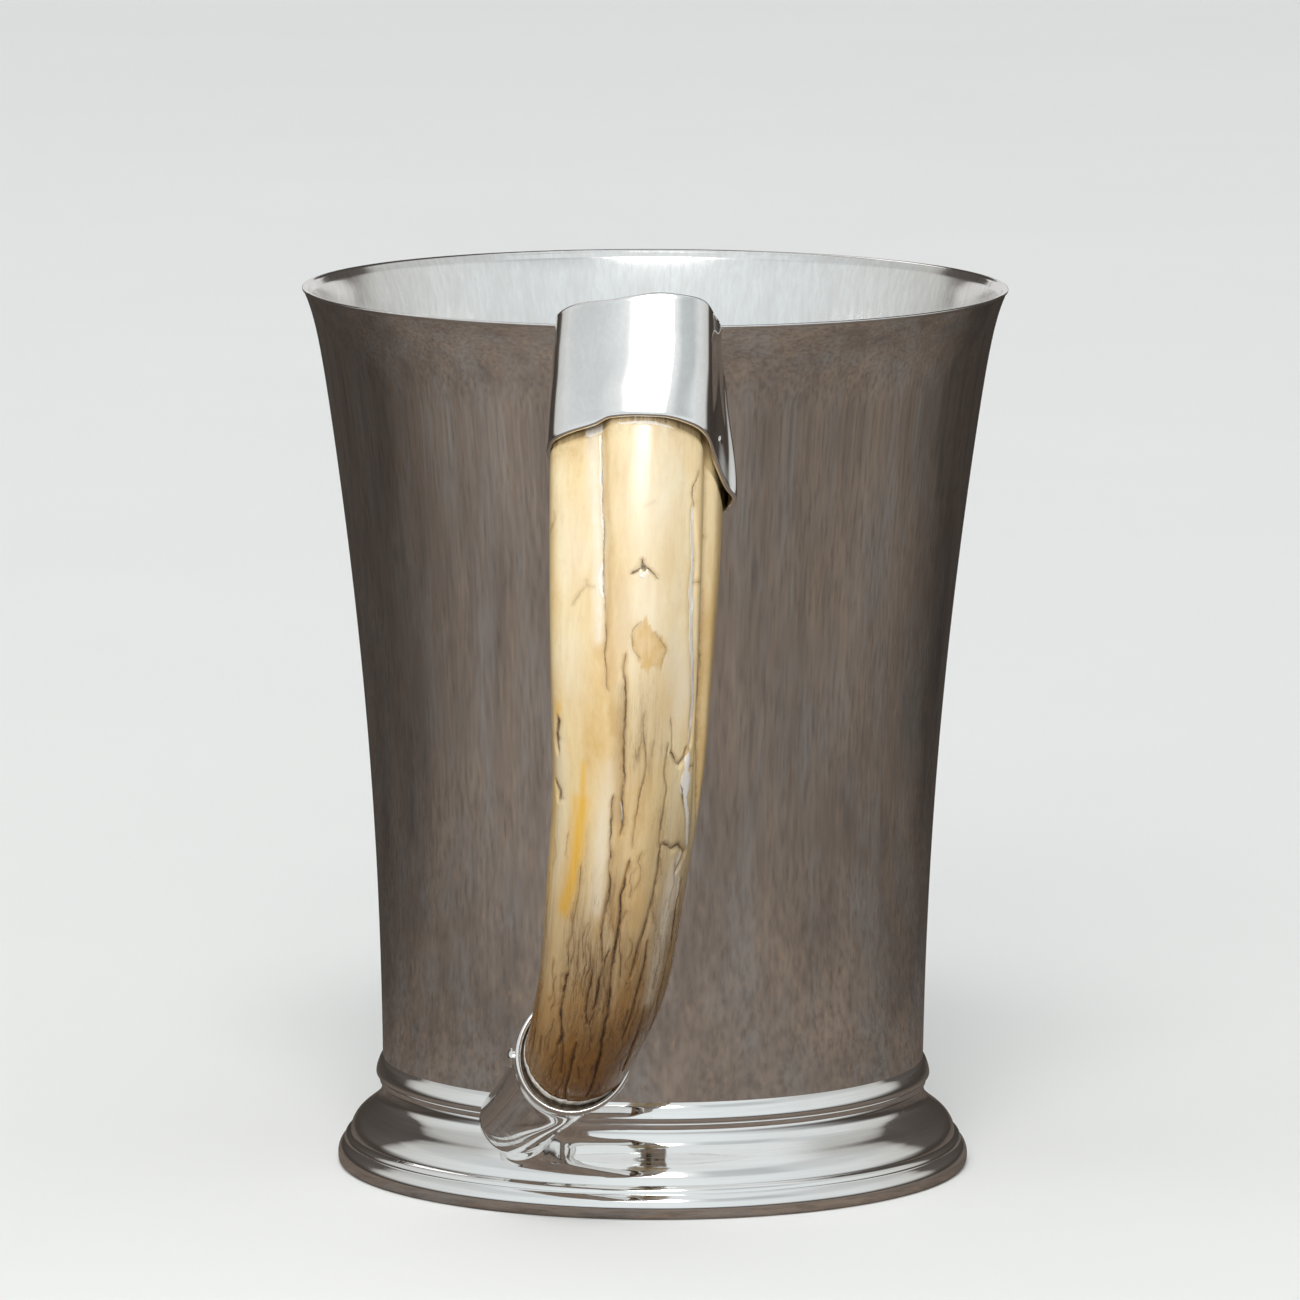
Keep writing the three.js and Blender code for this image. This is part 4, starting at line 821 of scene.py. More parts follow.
def dentine(cracks, chalks):
    """The tusk: cream enamel over the upper lobes, worn grey-tan dentine with dark cracks lower down, with painted
    highlight and painted shade in some of its colours.
    """
    m, tree, bsdf = new_material("tusk_dentine")
    k = Nodes(tree)
    pos = k.attribute("tk_pos", "Vector")
    worn, orange, ochre, tan, pale_and_highlight, edge, low = (
        k.attribute("tk_" + n) for n in ("worn", "orange", "ochre", "tan", "pale_and_highlight", "edge", "low"))
    grain = k.noise(k.scaled(pos, (1.5, 1.5, 0.10)), 1.0, 4.0, 0.62, 0.25)
    fine = k.noise(k.scaled(pos, (6.0, 6.0, 0.5)), 1.0, 3.0, 0.6)
    broad = k.noise(k.scaled(pos, (0.24, 0.24, 0.07)), 1.0, 5.0, 0.6, 0.6)
    mottle = k.noise(k.scaled(pos, (0.9, 0.9, 0.6)), 1.0, 5.0, 0.65)
    jag = k.math("ADD", k.span(k.noise(k.scaled(pos, (2.6, 2.6, 1.7)), 1.0, 3.0, 0.6), 0.2, 0.8, -0.14, 0.14),
                 k.span(k.noise(k.scaled(pos, (0.7, 0.7, 0.5), (4, 1, 2)), 1.0, 1.0), 0.2, 0.8, -0.14, 0.14))

    def lines(name, sets, inner, outer):
        core = halo = None
        for i in range(sets):
            v = k.new("ShaderNodeSeparateXYZ", Vector=k.attribute("tk_%s%d" % (name, i), "Vector"))
            off = k.math("ABSOLUTE", k.math("ADD", v.outputs["X"], jag))
            hit = k.math("MULTIPLY", v.outputs["Y"], k.span(off, k.math("MULTIPLY", v.outputs["Z"], inner),
                                                            k.math("MULTIPLY", v.outputs["Z"], outer), 1.0, 0.0, True))
            core = hit if core is None else k.math("MAXIMUM", core, hit)
            glow = k.math("MULTIPLY", v.outputs["Y"], k.span(off, 0.0, 0.8, 1.0, 0.0, True))
            halo = glow if halo is None else k.math("MAXIMUM", halo, glow)
        return core, halo

    crack, stain = lines("crack", cracks, 0.2, 1.0)
    broken = k.noise(k.scaled(pos, (0.55, 0.55, 0.34), (9, 2, 5)), 1.0, 3.0, 0.7)
    crack = k.math("MULTIPLY", crack, k.span(broken, 0.38, 0.58, 0.3, 1.0))
    chalk, _ = lines("chalk", chalks, 0.55, 1.1)
    enamel = k.ramp(broad, [(0.30, (0.76, 0.535, 0.25)), (0.45, (0.845, 0.645, 0.345)), (0.60, (0.885, 0.725, 0.43)),
                            (0.75, (0.91, 0.80, 0.55))])
    enamel = k.mix(k.span(grain, 0.48, 0.75, 0.0, 0.25), enamel, (0.72, 0.48, 0.19))
    dent = k.ramp(grain, [(0.25, (0.30, 0.21, 0.115)), (0.42, (0.49, 0.38, 0.235)), (0.58, (0.63, 0.52, 0.355)),
                          (0.75, (0.73, 0.63, 0.46))])
    dent = k.mix(k.span(broad, 0.52, 0.68, 0.0, 0.6), dent, (0.60, 0.385, 0.14))
    enamel = k.mix(k.span(mottle, 0.52, 0.72, 0.0, 0.3), enamel, (0.70, 0.47, 0.20))
    colour = k.mix(worn, enamel, dent)
    blot = k.span(mottle, 0.3, 0.7, 0.6, 1.0)
    # paler places of the enamel, partly painted highlight
    colour = k.mix(k.math("MULTIPLY", pale_and_highlight, blot), colour, (0.93, 0.865, 0.745))
    # tan stain, partly painted shade
    colour = k.mix(k.math("MULTIPLY", tan, blot), colour, (0.63, 0.415, 0.175))
    colour = k.mix(k.math("MULTIPLY", ochre, blot), colour, (0.70, 0.445, 0.15))
    colour = k.mix(k.math("MULTIPLY", orange, k.span(grain, 0.3, 0.7, 0.75, 1.0)), colour, (0.86, 0.50, 0.065))
    # dark residue under the collar's edge, partly painted shadow
    colour = k.mix(k.math("MULTIPLY", edge, k.span(mottle, 0.35, 0.62, 0.25, 1.0)), colour, (0.11, 0.055, 0.025))
    # darker towards the tip: the dentine's own brown, partly painted shade on the lower right side
    colour = k.mix(low, colour, k.mix(1.0, colour, (0.50, 0.305, 0.088), "MULTIPLY"))
    # hair cracks that follow the grain, mostly where the surface is worn
    hair = None
    for shift, squash in (((3.1, 7.7, 1.3), 0.075), ((8.3, 0.4, 6.1), 0.12)):
        n = k.noise(k.scaled(pos, (1.7, 1.7, squash), shift), 1.0, 4.0, 0.6, 0.3)
        n = k.span(k.math("ABSOLUTE", k.math("SUBTRACT", n, 0.5)), 0.002, 0.016, 1.0, 0.0)
        gate = k.span(k.noise(k.scaled(pos, (0.45, 0.45, 0.1), shift), 1.0, 2.0), 0.45, 0.56, 0.0, 1.0)
        n = k.math("MULTIPLY", n, gate)
        hair = n if hair is None else k.math("MAXIMUM", hair, n)
    hair = k.math("MULTIPLY", hair, k.span(worn, 0.1, 0.9, 0.05, 0.5))
    colour = k.mix(k.math("MULTIPLY", stain, k.span(mottle, 0.3, 0.7, 0.25, 0.75)), colour,
                   k.mix(1.0, colour, (0.52, 0.36, 0.19), "MULTIPLY"))
    colour = k.mix(hair, colour, k.mix(1.0, colour, (0.22, 0.13, 0.06), "MULTIPLY"))
    colour = k.mix(k.math("MULTIPLY", chalk, k.span(fine, 0.3, 0.6, 0.7, 1.0)), colour, (0.95, 0.92, 0.885))
    colour = k.mix(crack, colour, (0.05, 0.03, 0.018))
    tree.links.new(colour, bsdf.inputs["Base Color"])
    r = k.span(fine, 0.3, 0.7, 0.13, 0.21)
    r = k.math("ADD", r, k.math("MULTIPLY", worn, 0.10))
    r = k.math("ADD", r, k.math("MULTIPLY", k.math("MAXIMUM", crack, chalk), 0.4))
    tree.links.new(r, bsdf.inputs["Roughness"])
    deep = k.math("SUBTRACT", k.math("MULTIPLY", chalk, fine), k.math("ADD", crack, k.math("MULTIPLY", hair, 0.5)))
    n1 = k.bump(grain, 0.08, 0.0002)
    n2 = k.bump(fine, 0.08, 0.00006, n1)
    n3 = k.bump(deep, 0.8, 0.00018, n2)
    tree.links.new(n3, bsdf.inputs["Normal"])
    bsdf.inputs["Subsurface Weight"].default_value = 0.10
    bsdf.inputs["Subsurface Radius"].default_value = (1.0, 0.65, 0.35)
    bsdf.inputs["Subsurface Scale"].default_value = 0.001
    bsdf.inputs["Specular IOR Level"].default_value = 0.85
    bsdf.inputs["IOR"].default_value = 1.53
    return m


DENTINE = dentine(len(crack_sets), len(chalk_sets))
root_t = top_knot(T_ANG, -0.55, 3.2)
root_edge = section(root_t, T_ANG, -0.55)
root_mid = root_edge.mean(0)
cavity_end = centre(np.array(2.5))


def hollow_ring(f):
    r = max(5.6 * (1 - 0.86 * f), 0)
    e = (root_edge - root_mid) * (r / 12)
    return (root_mid + e) * (1 - f) + (cavity_end + e) * f


seat = [section(root_t * (1 - f) + (low_edge + 0.02) * f, T_ANG, -0.55) for f in np.linspace(0, 1, 6)]
rings = [hollow_ring(f) for f in (0.95, 0.7, 0.4, 0.15, 0.0)] + seat[:-1]
rings = [clear_of_wall(np.array(r), 0.35) for r in rings]
lead = len(rings)
allrings = np.concatenate([np.stack(rings), bare], 0)
pts = allrings.reshape(-1, 3)
n = len(pts)
pts = np.vstack([pts, cavity_end, centre(np.array(TUSK_TIP + 0.12))])
faces = grid(len(allrings), COLS) + fan(n, 0, COLS, True) + fan(n + 1, n - COLS, COLS, False)
tusk = make("tusk_handle", pts, faces, DENTINE, "tusk")


def point_values(ob, name, values, hidden=0.0):
    full = np.concatenate([np.full(lead * COLS, hidden), values.ravel(), [hidden, values[-1].mean()]])
    a = ob.data.attributes.new(name, "FLOAT", "POINT")
    a.data.foreach_set("value", full.astype(np.float32))


for key, values in (("worn", worn), ("orange", orange), ("ochre", ochre), ("tan", tan), ("pale_and_highlight", pale_and_highlight),
                    ("edge", edge), ("low", low)):
    point_values(tusk, "tk_" + key, np.clip(values, 0, 1))
for key, fields in (("crack", crack_fields), ("chalk", chalk_fields)):
    for i, field in enumerate(fields):
        full = np.zeros((len(tusk.data.vertices), 3), np.float32)
        full[:, 2] = 0.1
        full[lead * COLS : lead * COLS + bare_t.size] = field.reshape(-1, 3)
        tusk.data.attributes.new("tk_%s%d" % (key, i), "FLOAT_VECTOR", "POINT").data.foreach_set("vector", full.ravel())
straight = np.stack([mean_r(bare_t) * np.sin(bare_a), mean_r(bare_t) * np.cos(bare_a), arc_of(bare_t)], -1)
flat = np.concatenate([np.tile(straight[0], (lead, 1)), straight.reshape(-1, 3), straight[0][:1], straight[-1][:1]])
a = tusk.data.attributes.new("tk_pos", "FLOAT_VECTOR", "POINT")
a.data.foreach_set("vector", flat.astype(np.float32).ravel())

# ------------------------------------------------------------------ collar and its cap
C_ANG = np.linspace(-math.pi, math.pi, 288, endpoint=False)
c_deg = np.degrees(C_ANG)
low_c = low_knot(C_ANG)


def sleeve_ring(offset, f, beyond=0.0):
    """A ring of the sleeve: 0 at the top, 1 at the lower edge, and beyond in mm past it."""
    flare = 0.85 * bump(c_deg, 95, 26) * fade(f, 0.35, 1) + 0.65 * bump(c_deg, 86.5, 4.2) * fade(f, -0.05, 0.35)
    hammered = 0.05 * wobble(c_deg / 22.5, np.full_like(c_deg, f * 4.0), 8, 16) * (1 - abs(2 * f - 1) ** 4)
    top = top_knot(C_ANG, offset, 0, True)
    t = top * (1 - f) + low_c * f + beyond / 18.9
    return clear_of_wall(section(t, C_ANG, offset + flare + hammered, True), 0.12 + (COLLAR_OUT - offset) * 0.9)


half = (COLLAR_OUT - COLLAR_IN) / 2
mid_off = (COLLAR_OUT + COLLAR_IN) / 2
fs = np.linspace(0, 1, 44)
rim = [sleeve_ring(mid_off + half * math.cos(a), 1.0, -0.35 + 0.35 * math.sin(a)) for a in np.linspace(0, math.pi, 9)]
sleeve = [sleeve_ring(COLLAR_OUT, f) for f in fs[:-2]] + rim + [sleeve_ring(COLLAR_IN, f) for f in fs[::-2][1:]]
make("collar_sleeve", np.concatenate(sleeve), grid(len(sleeve), len(C_ANG), True), SILVER_ALL, "upper_collar",
     sharp=55)

cap_edge = section(top_knot(C_ANG, COLLAR_OUT, 0, True), C_ANG, COLLAR_OUT, True)
cap_mid = cap_edge.mean(0)
up = np.array([0, COLLAR_SLOPE, 1.0])
up /= np.linalg.norm(up)


def cap_ring(f, h):
    return clear_of_wall(cap_mid + (cap_edge - cap_mid) * f + up * h, 0.12)


flat_fit = np.linalg.lstsq(np.c_[cap_edge[:, :2], np.ones(len(cap_edge))], cap_edge[:, 2], rcond=None)[0]
edge_wave = cap_edge[:, 2] - np.c_[cap_edge[:, :2], np.ones(len(cap_edge))] @ flat_fit


waves = np.fft.rfft(edge_wave)


def plate_ring(f, h):
    """A ring of the plate's top: the edge's waves die away towards the middle, the short ones first."""
    p = cap_ring(f, h)
    calm = 0.955 * np.fft.irfft(waves * (f / 0.955) ** np.arange(len(waves)), len(edge_wave))
    p[:, 2] += calm - edge_wave * f
    return p


cap = [cap_ring(f, 0.0) for f in (0.3, 0.7, 1.0)]
cap += [cap_ring(1 - 0.045 * (1 - math.cos(a)), 0.35 + 0.5 * math.sin(a)) for a in np.linspace(0, math.pi / 2, 9)]
cap += [plate_ring(f, 0.85 + 0.85 * (1 - (f / 0.955) ** 2)) for f in np.linspace(0.945, 0.04, 34)]
cap = np.concatenate(cap)
n = len(cap)
rows = n // len(C_ANG)
cap = np.vstack([cap, cap_mid, cap_mid + up * 1.7])
make("collar_top_plate", cap, grid(rows, len(C_ANG)) + fan(n, 0, len(C_ANG), True)
     + fan(n + 1, n - len(C_ANG), len(C_ANG), False), SILVER_ALL, "collar_cap", sharp=55)

# ------------------------------------------------------------------ socket
FACE_OUT = np.array([math.sin(FACE_TURN) * math.cos(FACE_LIFT), -math.cos(FACE_TURN) * math.cos(FACE_LIFT),
                     math.sin(FACE_LIFT)])
FACE_RIGHT = np.cross([0, 0, 1.0], FACE_OUT)
FACE_RIGHT /= np.linalg.norm(FACE_RIGHT)
FACE_UP = np.cross(FACE_OUT, FACE_RIGHT)


def socket_line(f):
    return MOUTH * (1 - f) ** 2 + 2 * BEND * f * (1 - f) + TOE * f * f


def socket_ring(f, radius, ang, ahead=0.0):
    p = socket_line(f)
    d = 2 * (BEND - MOUTH) * (1 - f) + 2 * (TOE - BEND) * f
    d /= np.linalg.norm(d)
    right = np.array([1.0, 0, 0]) - d * d[0]
    right /= np.linalg.norm(right)
    front = np.cross(d, right)
    round_ = float(fade(f, 0, 0.42))
    shrink = 9.2 * (1 - 0.3 * f) - radius
    way = d * round_ - FACE_OUT * (1 - round_)
    p = p + way / np.linalg.norm(way) * ahead
    s, c = np.sin(ang)[:, None], np.cos(ang)[:, None]
    turn = np.arctan2(-c, s) - OVAL_LEAN
    oval = 1 / np.hypot(np.cos(turn) / OVAL_LONG, np.sin(turn) / OVAL_SHORT) * (1 - 0.3 * f) - shrink
    flat_ = FACE_RIGHT * oval * s - FACE_UP * oval * c
    tube = right * radius * s + front * radius * c
    return p + flat_ * (1 - round_) + tube * round_


CUP_Z, CUP_R = [], []
for z_, r_ in sorted([(z, r) for r, z in FOOT[2:-1]] + [(z, r) for r, z in GIRDLE[2:-1]]
                     + [(z, r) for r, z in RIM_WIRE[3:]] + [(z, float(body_r(z))) for z in np.linspace(18, 139, 30)]):
    CUP_Z.append(z_)
    CUP_R.append(r_)


def soldered(p, mid, reach, spread):
    """Points near the cup's outside are spread away from the middle of their ring, like a fillet of solder."""
    gap = np.hypot(p[:, 0], p[:, 1]) - np.interp(p[:, 2], CUP_Z, CUP_R)
    out = p - mid
    out /= np.maximum(np.linalg.norm(out, axis=1, keepdims=True), 1e-6)
    k = np.clip(1 - gap / reach, 0, 1.15) ** 2 * spread
    return p + out * k[:, None]


S_ANG = np.linspace(-math.pi, math.pi, 160, endpoint=False)
sock_r = lambda f: float(through([f_ for f_, _ in SOCKET_R], [r for _, r in SOCKET_R], f))
outer = []
for f in np.linspace(0.035, 1, 60):
    outer.append(soldered(socket_ring(f, sock_r(f), S_ANG), socket_line(f), 4.0, 1.7 * float(fade(f, 0.35, 0.8))))
for a in np.linspace(0, math.pi / 2, 15)[1:-1]:
    outer.append(soldered(socket_ring(1, 5.6 * math.cos(a), S_ANG, 5.6 * math.sin(a)), socket_line(1.0), 4.0, 1.7))
lip_mid, lip_half = 8.72, 0.48
bead = [socket_ring(0, lip_mid - lip_half * math.cos(a), S_ANG, 0.42 - 0.6 * math.sin(a)) for a in
        np.linspace(0, math.pi, 11)]
inside = [socket_ring(f, sock_r(f) - 0.95, S_ANG) for f in (0.5, 0.42, 0.34, 0.26, 0.19, 0.13, 0.08, 0.05)]
rings = inside + bead + outer
sock = np.concatenate(rings)
n = len(sock)
tip_end = socket_line(1.0)
dirn = TOE - BEND
dirn = dirn / np.linalg.norm(dirn)
sock = np.vstack([sock, socket_line(0.52), tip_end + dirn * 5.6])
make("tusk_socket", sock, grid(len(rings), len(S_ANG)) + fan(n, 0, len(S_ANG), True)
     + fan(n + 1, n - len(S_ANG), len(S_ANG), False), SILVER_ALL, "lower_socket", sharp=60)

# bedding between tusk and socket: high against the tusk, sunk towards the socket's wall
tusk_tree = BVHTree.FromPolygons([Vector(p) for p in pts.tolist()], [tuple(f) for f in faces])
B_ANG = np.linspace(-math.pi, math.pi, 200, endpoint=False)


def bed_point(i, share, depth):
    wall = bed_wall(depth)[i]
    mid = MOUTH - FACE_OUT * depth
    way = Vector((mid - wall).tolist())
    reach = way.length
    way.normalize()
    hit = tusk_tree.ray_cast(Vector(wall.tolist()), way, reach)
    tusk_at = np.array(hit[0]) if hit[0] is not None else wall + (mid - wall) * 0.12
    return tusk_at + (wall - tusk_at) * share


_walls = {}


def bed_wall(depth):
    key = round(depth, 3)
    if key not in _walls:
        _walls[key] = socket_ring(0.0, 8.2, B_ANG, depth)
    return _walls[key]


bed_rows = [(0.02, 0.4), (0.05, 0.0), (0.12, -0.28), (0.2, -0.34), (0.28, -0.2), (0.34, 0.2), (0.42, 0.8),
            (0.56, 1.3), (0.72, 1.5), (0.86, 1.4), (0.97, 1.2), (0.97, 4.0), (0.5, 4.5), (0.02, 4.0)]
bed = []
for r_, (share, depth) in enumerate(bed_rows):
    row = []
    for i, ang in enumerate(B_ANG):
        rough_ = 0.16 * float(wobble(i * 0.24, r_ * 0.5, 44, 48)) + 0.10 * float(wobble(i * 0.72, r_ * 0.8, 45, 144))
        row.append(bed_point(i, share, depth + (rough_ if depth < 3 else 0.0)))
    bed.append(row)
bedded = make("tip_bedding", np.array(bed).reshape(-1, 3), grid(len(bed_rows), len(B_ANG), True), BEDDING, "tip_cement")
high = np.repeat([float(fade(-d, -0.9, 0.05)) for _, d in bed_rows], len(B_ANG))
bedded.data.attributes.new("bed_high", "FLOAT", "POINT").data.foreach_set("value", high.astype(np.float32))


# ------------------------------------------------------------------ pins
def pin(name, point, inwards, length, node, head=1.0, sunk=0.0, flat=1.0):
    prof = [(0.0, -0.6), (0.35, -0.585), (0.65, -0.54), (0.9, -0.45), (1.1, -0.31), (1.22, -0.14), (1.25, 0.0),
            (1.2, 0.06), (0.85, 0.07), (0.85, length * 0.4), (0.85, length - 0.1), (0.75, length), (0.0, length)]
    prof = [(r * head, h * (head * flat if h < 0 else 1) + sunk) for r, h in prof]
    ang = np.arange(40) * 2 * math.pi / 40
    z = np.asarray(inwards, float)
    z = z / np.linalg.norm(z)
    x = np.cross(z, [0.0, 0.3, 1.0])
    x /= np.linalg.norm(x)
    y = np.cross(z, x)
    ring = [(np.asarray(point) + z * h + r * (np.cos(ang)[:, None] * x + np.sin(ang)[:, None] * y)) for r, h in prof[1:-1]]
    p = np.concatenate(ring)
    k = len(p)
    p = np.vstack([p, np.asarray(point) + z * prof[0][1], np.asarray(point) + z * prof[-1][1]])
    return make(name, p, grid(len(ring), 40) + fan(k, 0, 40, True) + fan(k + 1, k - 40, 40, False), SILVER_ALL, node,
                sharp=50)


a70 = np.array(math.radians(70))
up_at = section(np.array(2.0), a70, 1.35, True)
pin("collar_pin", up_at, section(np.array(2.0), a70, -8.0) - up_at, 3.0, "upper_pin", 0.62, 0.55, 0.45)
low_at = socket_ring(0.1, 9.3, np.array([-math.pi / 2]))[0]
pin("socket_pin", low_at, socket_line(0.1) - low_at, 1.2, "lower_pin", 1.2, 0.2)

# ------------------------------------------------------------------ saddle between sleeve and wall
sleeve_pts = np.concatenate([section(np.full_like(C_ANG, t), C_ANG, COLLAR_OUT, True) for t in np.linspace(-0.1, 2.9, 60)])
sleeve_tree = BVHTree.FromPolygons([Vector(p) for p in sleeve_pts.tolist()],
                                   [tuple(f) for f in grid(60, len(C_ANG))])


def saddle_row(x, inset):
    """One slice of the saddle: down the wall, round the arch, up the sleeve and back."""
    top, low = 138.4 - 0.5 * inset, 126.9 + 0.4 * inset
    row = []
    zs_ = np.concatenate([np.linspace(top, low, 14), np.linspace(low, top, 14)])
    for i, z in enumerate(zs_):
        wall_y = -math.sqrt(max((float(body_r(min(z, 139.4))) - 0.1) ** 2 - x * x, 1.0))
        hit = sleeve_tree.ray_cast(Vector((x, wall_y - 0.05, z)), Vector((0, -1, 0)), 40)
        sleeve_y = hit[0].y - 0.25 if hit[0] is not None else wall_y - 3
        sleeve_y = min(sleeve_y, wall_y - 0.3)
        span = wall_y - sleeve_y
        arch = 0.42 * span * (1 - fade(z, low, low + 7.0)) if span > 1.0 else 0.0
        row.append((x, wall_y - arch * 0.0, z) if i < 14 else (x, sleeve_y, z))
    # lift the lowest points between wall and sleeve into an arch
    a, b = np.array(row[13]), np.array(row[14])
    mid = [a + (b - a) * s + np.array([0, 0, 3.4 * math.sin(math.pi * s) ** 0.8]) for s in (0.15, 0.3, 0.5, 0.7, 0.85)]
    return np.array(row[:14] + [tuple(m) for m in mid] + row[14:])


xs_ = np.concatenate([[-7.9, -7.75, -7.4], np.linspace(-6.6, 7.4, 17), [8.2, 8.55, 8.7]])
ins = np.concatenate([[1.6, 0.7, 0.2], np.zeros(17), [0.2, 0.7, 1.6]])
saddle = np.array([saddle_row(float(x), float(i)) for x, i in zip(xs_, ins)])
rows_, cols_ = saddle.shape[:2]
sp = saddle.reshape(-1, 3)
n = len(sp)
sp = np.vstack([sp, saddle[0].mean(0), saddle[-1].mean(0)])
make("collar_bracket", sp, grid(rows_, cols_) + fan(n, 0, cols_, True) + fan(n + 1, n - cols_, cols_, False),
     SILVER_ALL, "collar_saddle", sharp=50)

# the hidden bedding in the root keeps its CAD shape
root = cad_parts["root_cement"]
root.data.materials.clear()
root.data.materials.append(BEDDING)


# ------------------------------------------------------------------ stage
def stage_mesh(name, points, faces, material, **seen):
    me = bpy.data.meshes.new(name)
    me.from_pydata(points, [], faces)
    me.materials.append(material)
    ob = bpy.data.objects.new(name, me)
    bpy.context.scene.collection.objects.link(ob)
    for key, value in seen.items():
        setattr(ob, "visible_" + key, value)
    return ob


def floor_material():
    m, tree, bsdf = new_material("pale_floor")
    k = Nodes(tree)
    n = k.noise(k.scaled(k.position(), (6, 6, 6)), 1.0, 4.0, 0.6)
    tree.links.new(k.mix(k.span(n, 0.3, 0.7, 0.0, 1.0), (0.905, 0.90, 0.89), (0.92, 0.915, 0.905)),
                   bsdf.inputs["Base Color"])
    bsdf.inputs["Roughness"].default_value = 0.85
    bsdf.inputs["Specular IOR Level"].default_value = 0.15
    return m


def cloth_material():
    """Brown cloth that only the object sees, with painted shade: darker to the right and behind it."""
    m, tree, bsdf = new_material("brown_cloth")
    k = Nodes(tree)
    pos = k.position()
    sep = k.new("ShaderNodeSeparateXYZ", Vector=pos)
    a = k.noise(k.scaled(pos, (9, 9, 9)), 1.0, 9.0, 0.72)
    b = k.noise(k.scaled(pos, (120, 120, 120)), 1.0, 6.0, 0.75)
    c = k.noise(k.scaled(pos, (115, 115, 115), (2, 5, 0)), 1.0, 7.0, 0.75)
    d = k.noise(k.scaled(pos, (15, 15, 15), (7, 1, 0)), 1.0, 6.0, 0.7)
    colour = k.mix(k.span(a, 0.36, 0.64, 0.0, 1.0), (0.145, 0.119, 0.106), (0.30, 0.232, 0.185))
    colour = k.mix(k.span(d, 0.46, 0.62, 0.0, 0.6), colour, (0.255, 0.238, 0.228))
    colour = k.mix(k.span(b, 0.44, 0.66, 0.0, 0.8), colour, (0.118, 0.092, 0.076))
    colour = k.mix(k.span(c, 0.555, 0.68, 0.0, 0.45), colour, (0.45, 0.28, 0.175))
    # painted shade: the cloth dims to the right and behind, standing in for the light falling off
    colour = k.mix(k.span(sep.outputs["X"], 0.03, 0.22, 0.0, 1.0, True), colour,
                   k.mix(1.0, colour, (0.78, 0.77, 0.76), "MULTIPLY"))
    back = k.math("SUBTRACT", sep.outputs["Y"], k.math("MULTIPLY", sep.outputs["X"], 0.25))
    colour = k.mix(k.span(back, -0.12, 0.30, 0.0, 1.0, True), colour, k.mix(1.0, colour, (0.30, 0.29, 0.29), "MULTIPLY"))
    tree.links.new(colour, bsdf.inputs["Base Color"])
    bsdf.inputs["Roughness"].default_value = 0.9
    bsdf.inputs["Specular IOR Level"].default_value = 0.1
    return m


W = 14.0
stage_mesh("floor", [(-W, -W, -0.0001), (W, -W, -0.0001), (W, W, -0.0001), (-W, W, -0.0001)], [(0, 1, 2, 3)],
           floor_material(), diffuse=False, glossy=False, shadow=False, transmission=False)
stage_mesh("reflected_cloth", [(-W, -W, -0.0004), (W, -W, -0.0004), (W, W, -0.0004), (-W, W, -0.0004)], [(0, 1, 2, 3)],
           cloth_material(), camera=False, shadow=False, transmission=False)
ring_n = 96
circle = [(math.cos(2 * math.pi * i / ring_n) * 6, math.sin(2 * math.pi * i / ring_n) * 6) for i in range(ring_n)]
stage_mesh("backdrop", [(x, y, z) for z in (-0.01, 8.0) for x, y in circle],
           [((i + 1) % ring_n, i, i + ring_n, (i + 1) % ring_n + ring_n) for i in range(ring_n)], floor_material(),
           diffuse=False, glossy=False, shadow=False, transmission=False)

LAMP = 12.0
world = bpy.data.worlds.new("studio")
bpy.context.scene.world = world
world.use_nodes = True
wt = world.node_tree
wt.nodes.clear()
wk = Nodes(wt)
way = wk.new("ShaderNodeSeparateXYZ", Vector=wt.nodes.new("ShaderNodeTexCoord").outputs["Generated"])
up_z = way.outputs["Z"]
turn = wk.math("ARCTAN2", way.outputs["X"], wk.math("MULTIPLY", way.outputs["Y"], -1.0))
rise = wk.math("ARCSINE", up_z)
side = wk.math("DIVIDE", wk.math("ABSOLUTE", turn), math.pi)
# the bright part of the room reaches further back higher up
side = wk.math("ADD", side, wk.span(up_z, 0.42, 0.62, 0.03, -0.042))
sky = wk.ramp(side, [(0.0, (0.83, 0.885, 0.905)), (0.10, (0.815, 0.87, 0.89)), (0.22, (0.77, 0.82, 0.838)),
                     (0.41, (0.715, 0.752, 0.762)), (0.54, (0.665, 0.688, 0.688)), (0.63, (0.605, 0.618, 0.61)),
                     (0.68, (0.56, 0.565, 0.55)), (0.712, (0.40, 0.392, 0.376)), (0.738, (0.10, 0.089, 0.081)),
                     (1.0, (0.05, 0.043, 0.038))])
over = wk.span(up_z, 0.78, 0.95, 0.0, 1.0, True)
sky = wk.mix(over, sky, (0.76, 0.80, 0.81))
# a dimmer belt half-way up, dimmest on the right
belt = wk.math("MULTIPLY", wk.span(up_z, 0.45, 0.62, 0.0, 1.0, True), wk.span(up_z, 0.78, 0.88, 1.0, 0.0, True))
right = wk.math("MULTIPLY", wk.span(turn, math.radians(15), math.radians(26), 0.0, 1.0, True),
                wk.span(turn, math.radians(52), math.radians(72), 1.0, 0.0, True))
dim = wk.math("MULTIPLY", belt, wk.math("ADD", 0.16, wk.math("MULTIPLY", right, 0.16)))
sky = wk.mix(dim, sky, (0.0, 0.0, 0.0))
sky = wk.mix(wk.span(up_z, 0.03, 0.17, 0.0, 1.0, True), (0.058, 0.049, 0.042), sky)
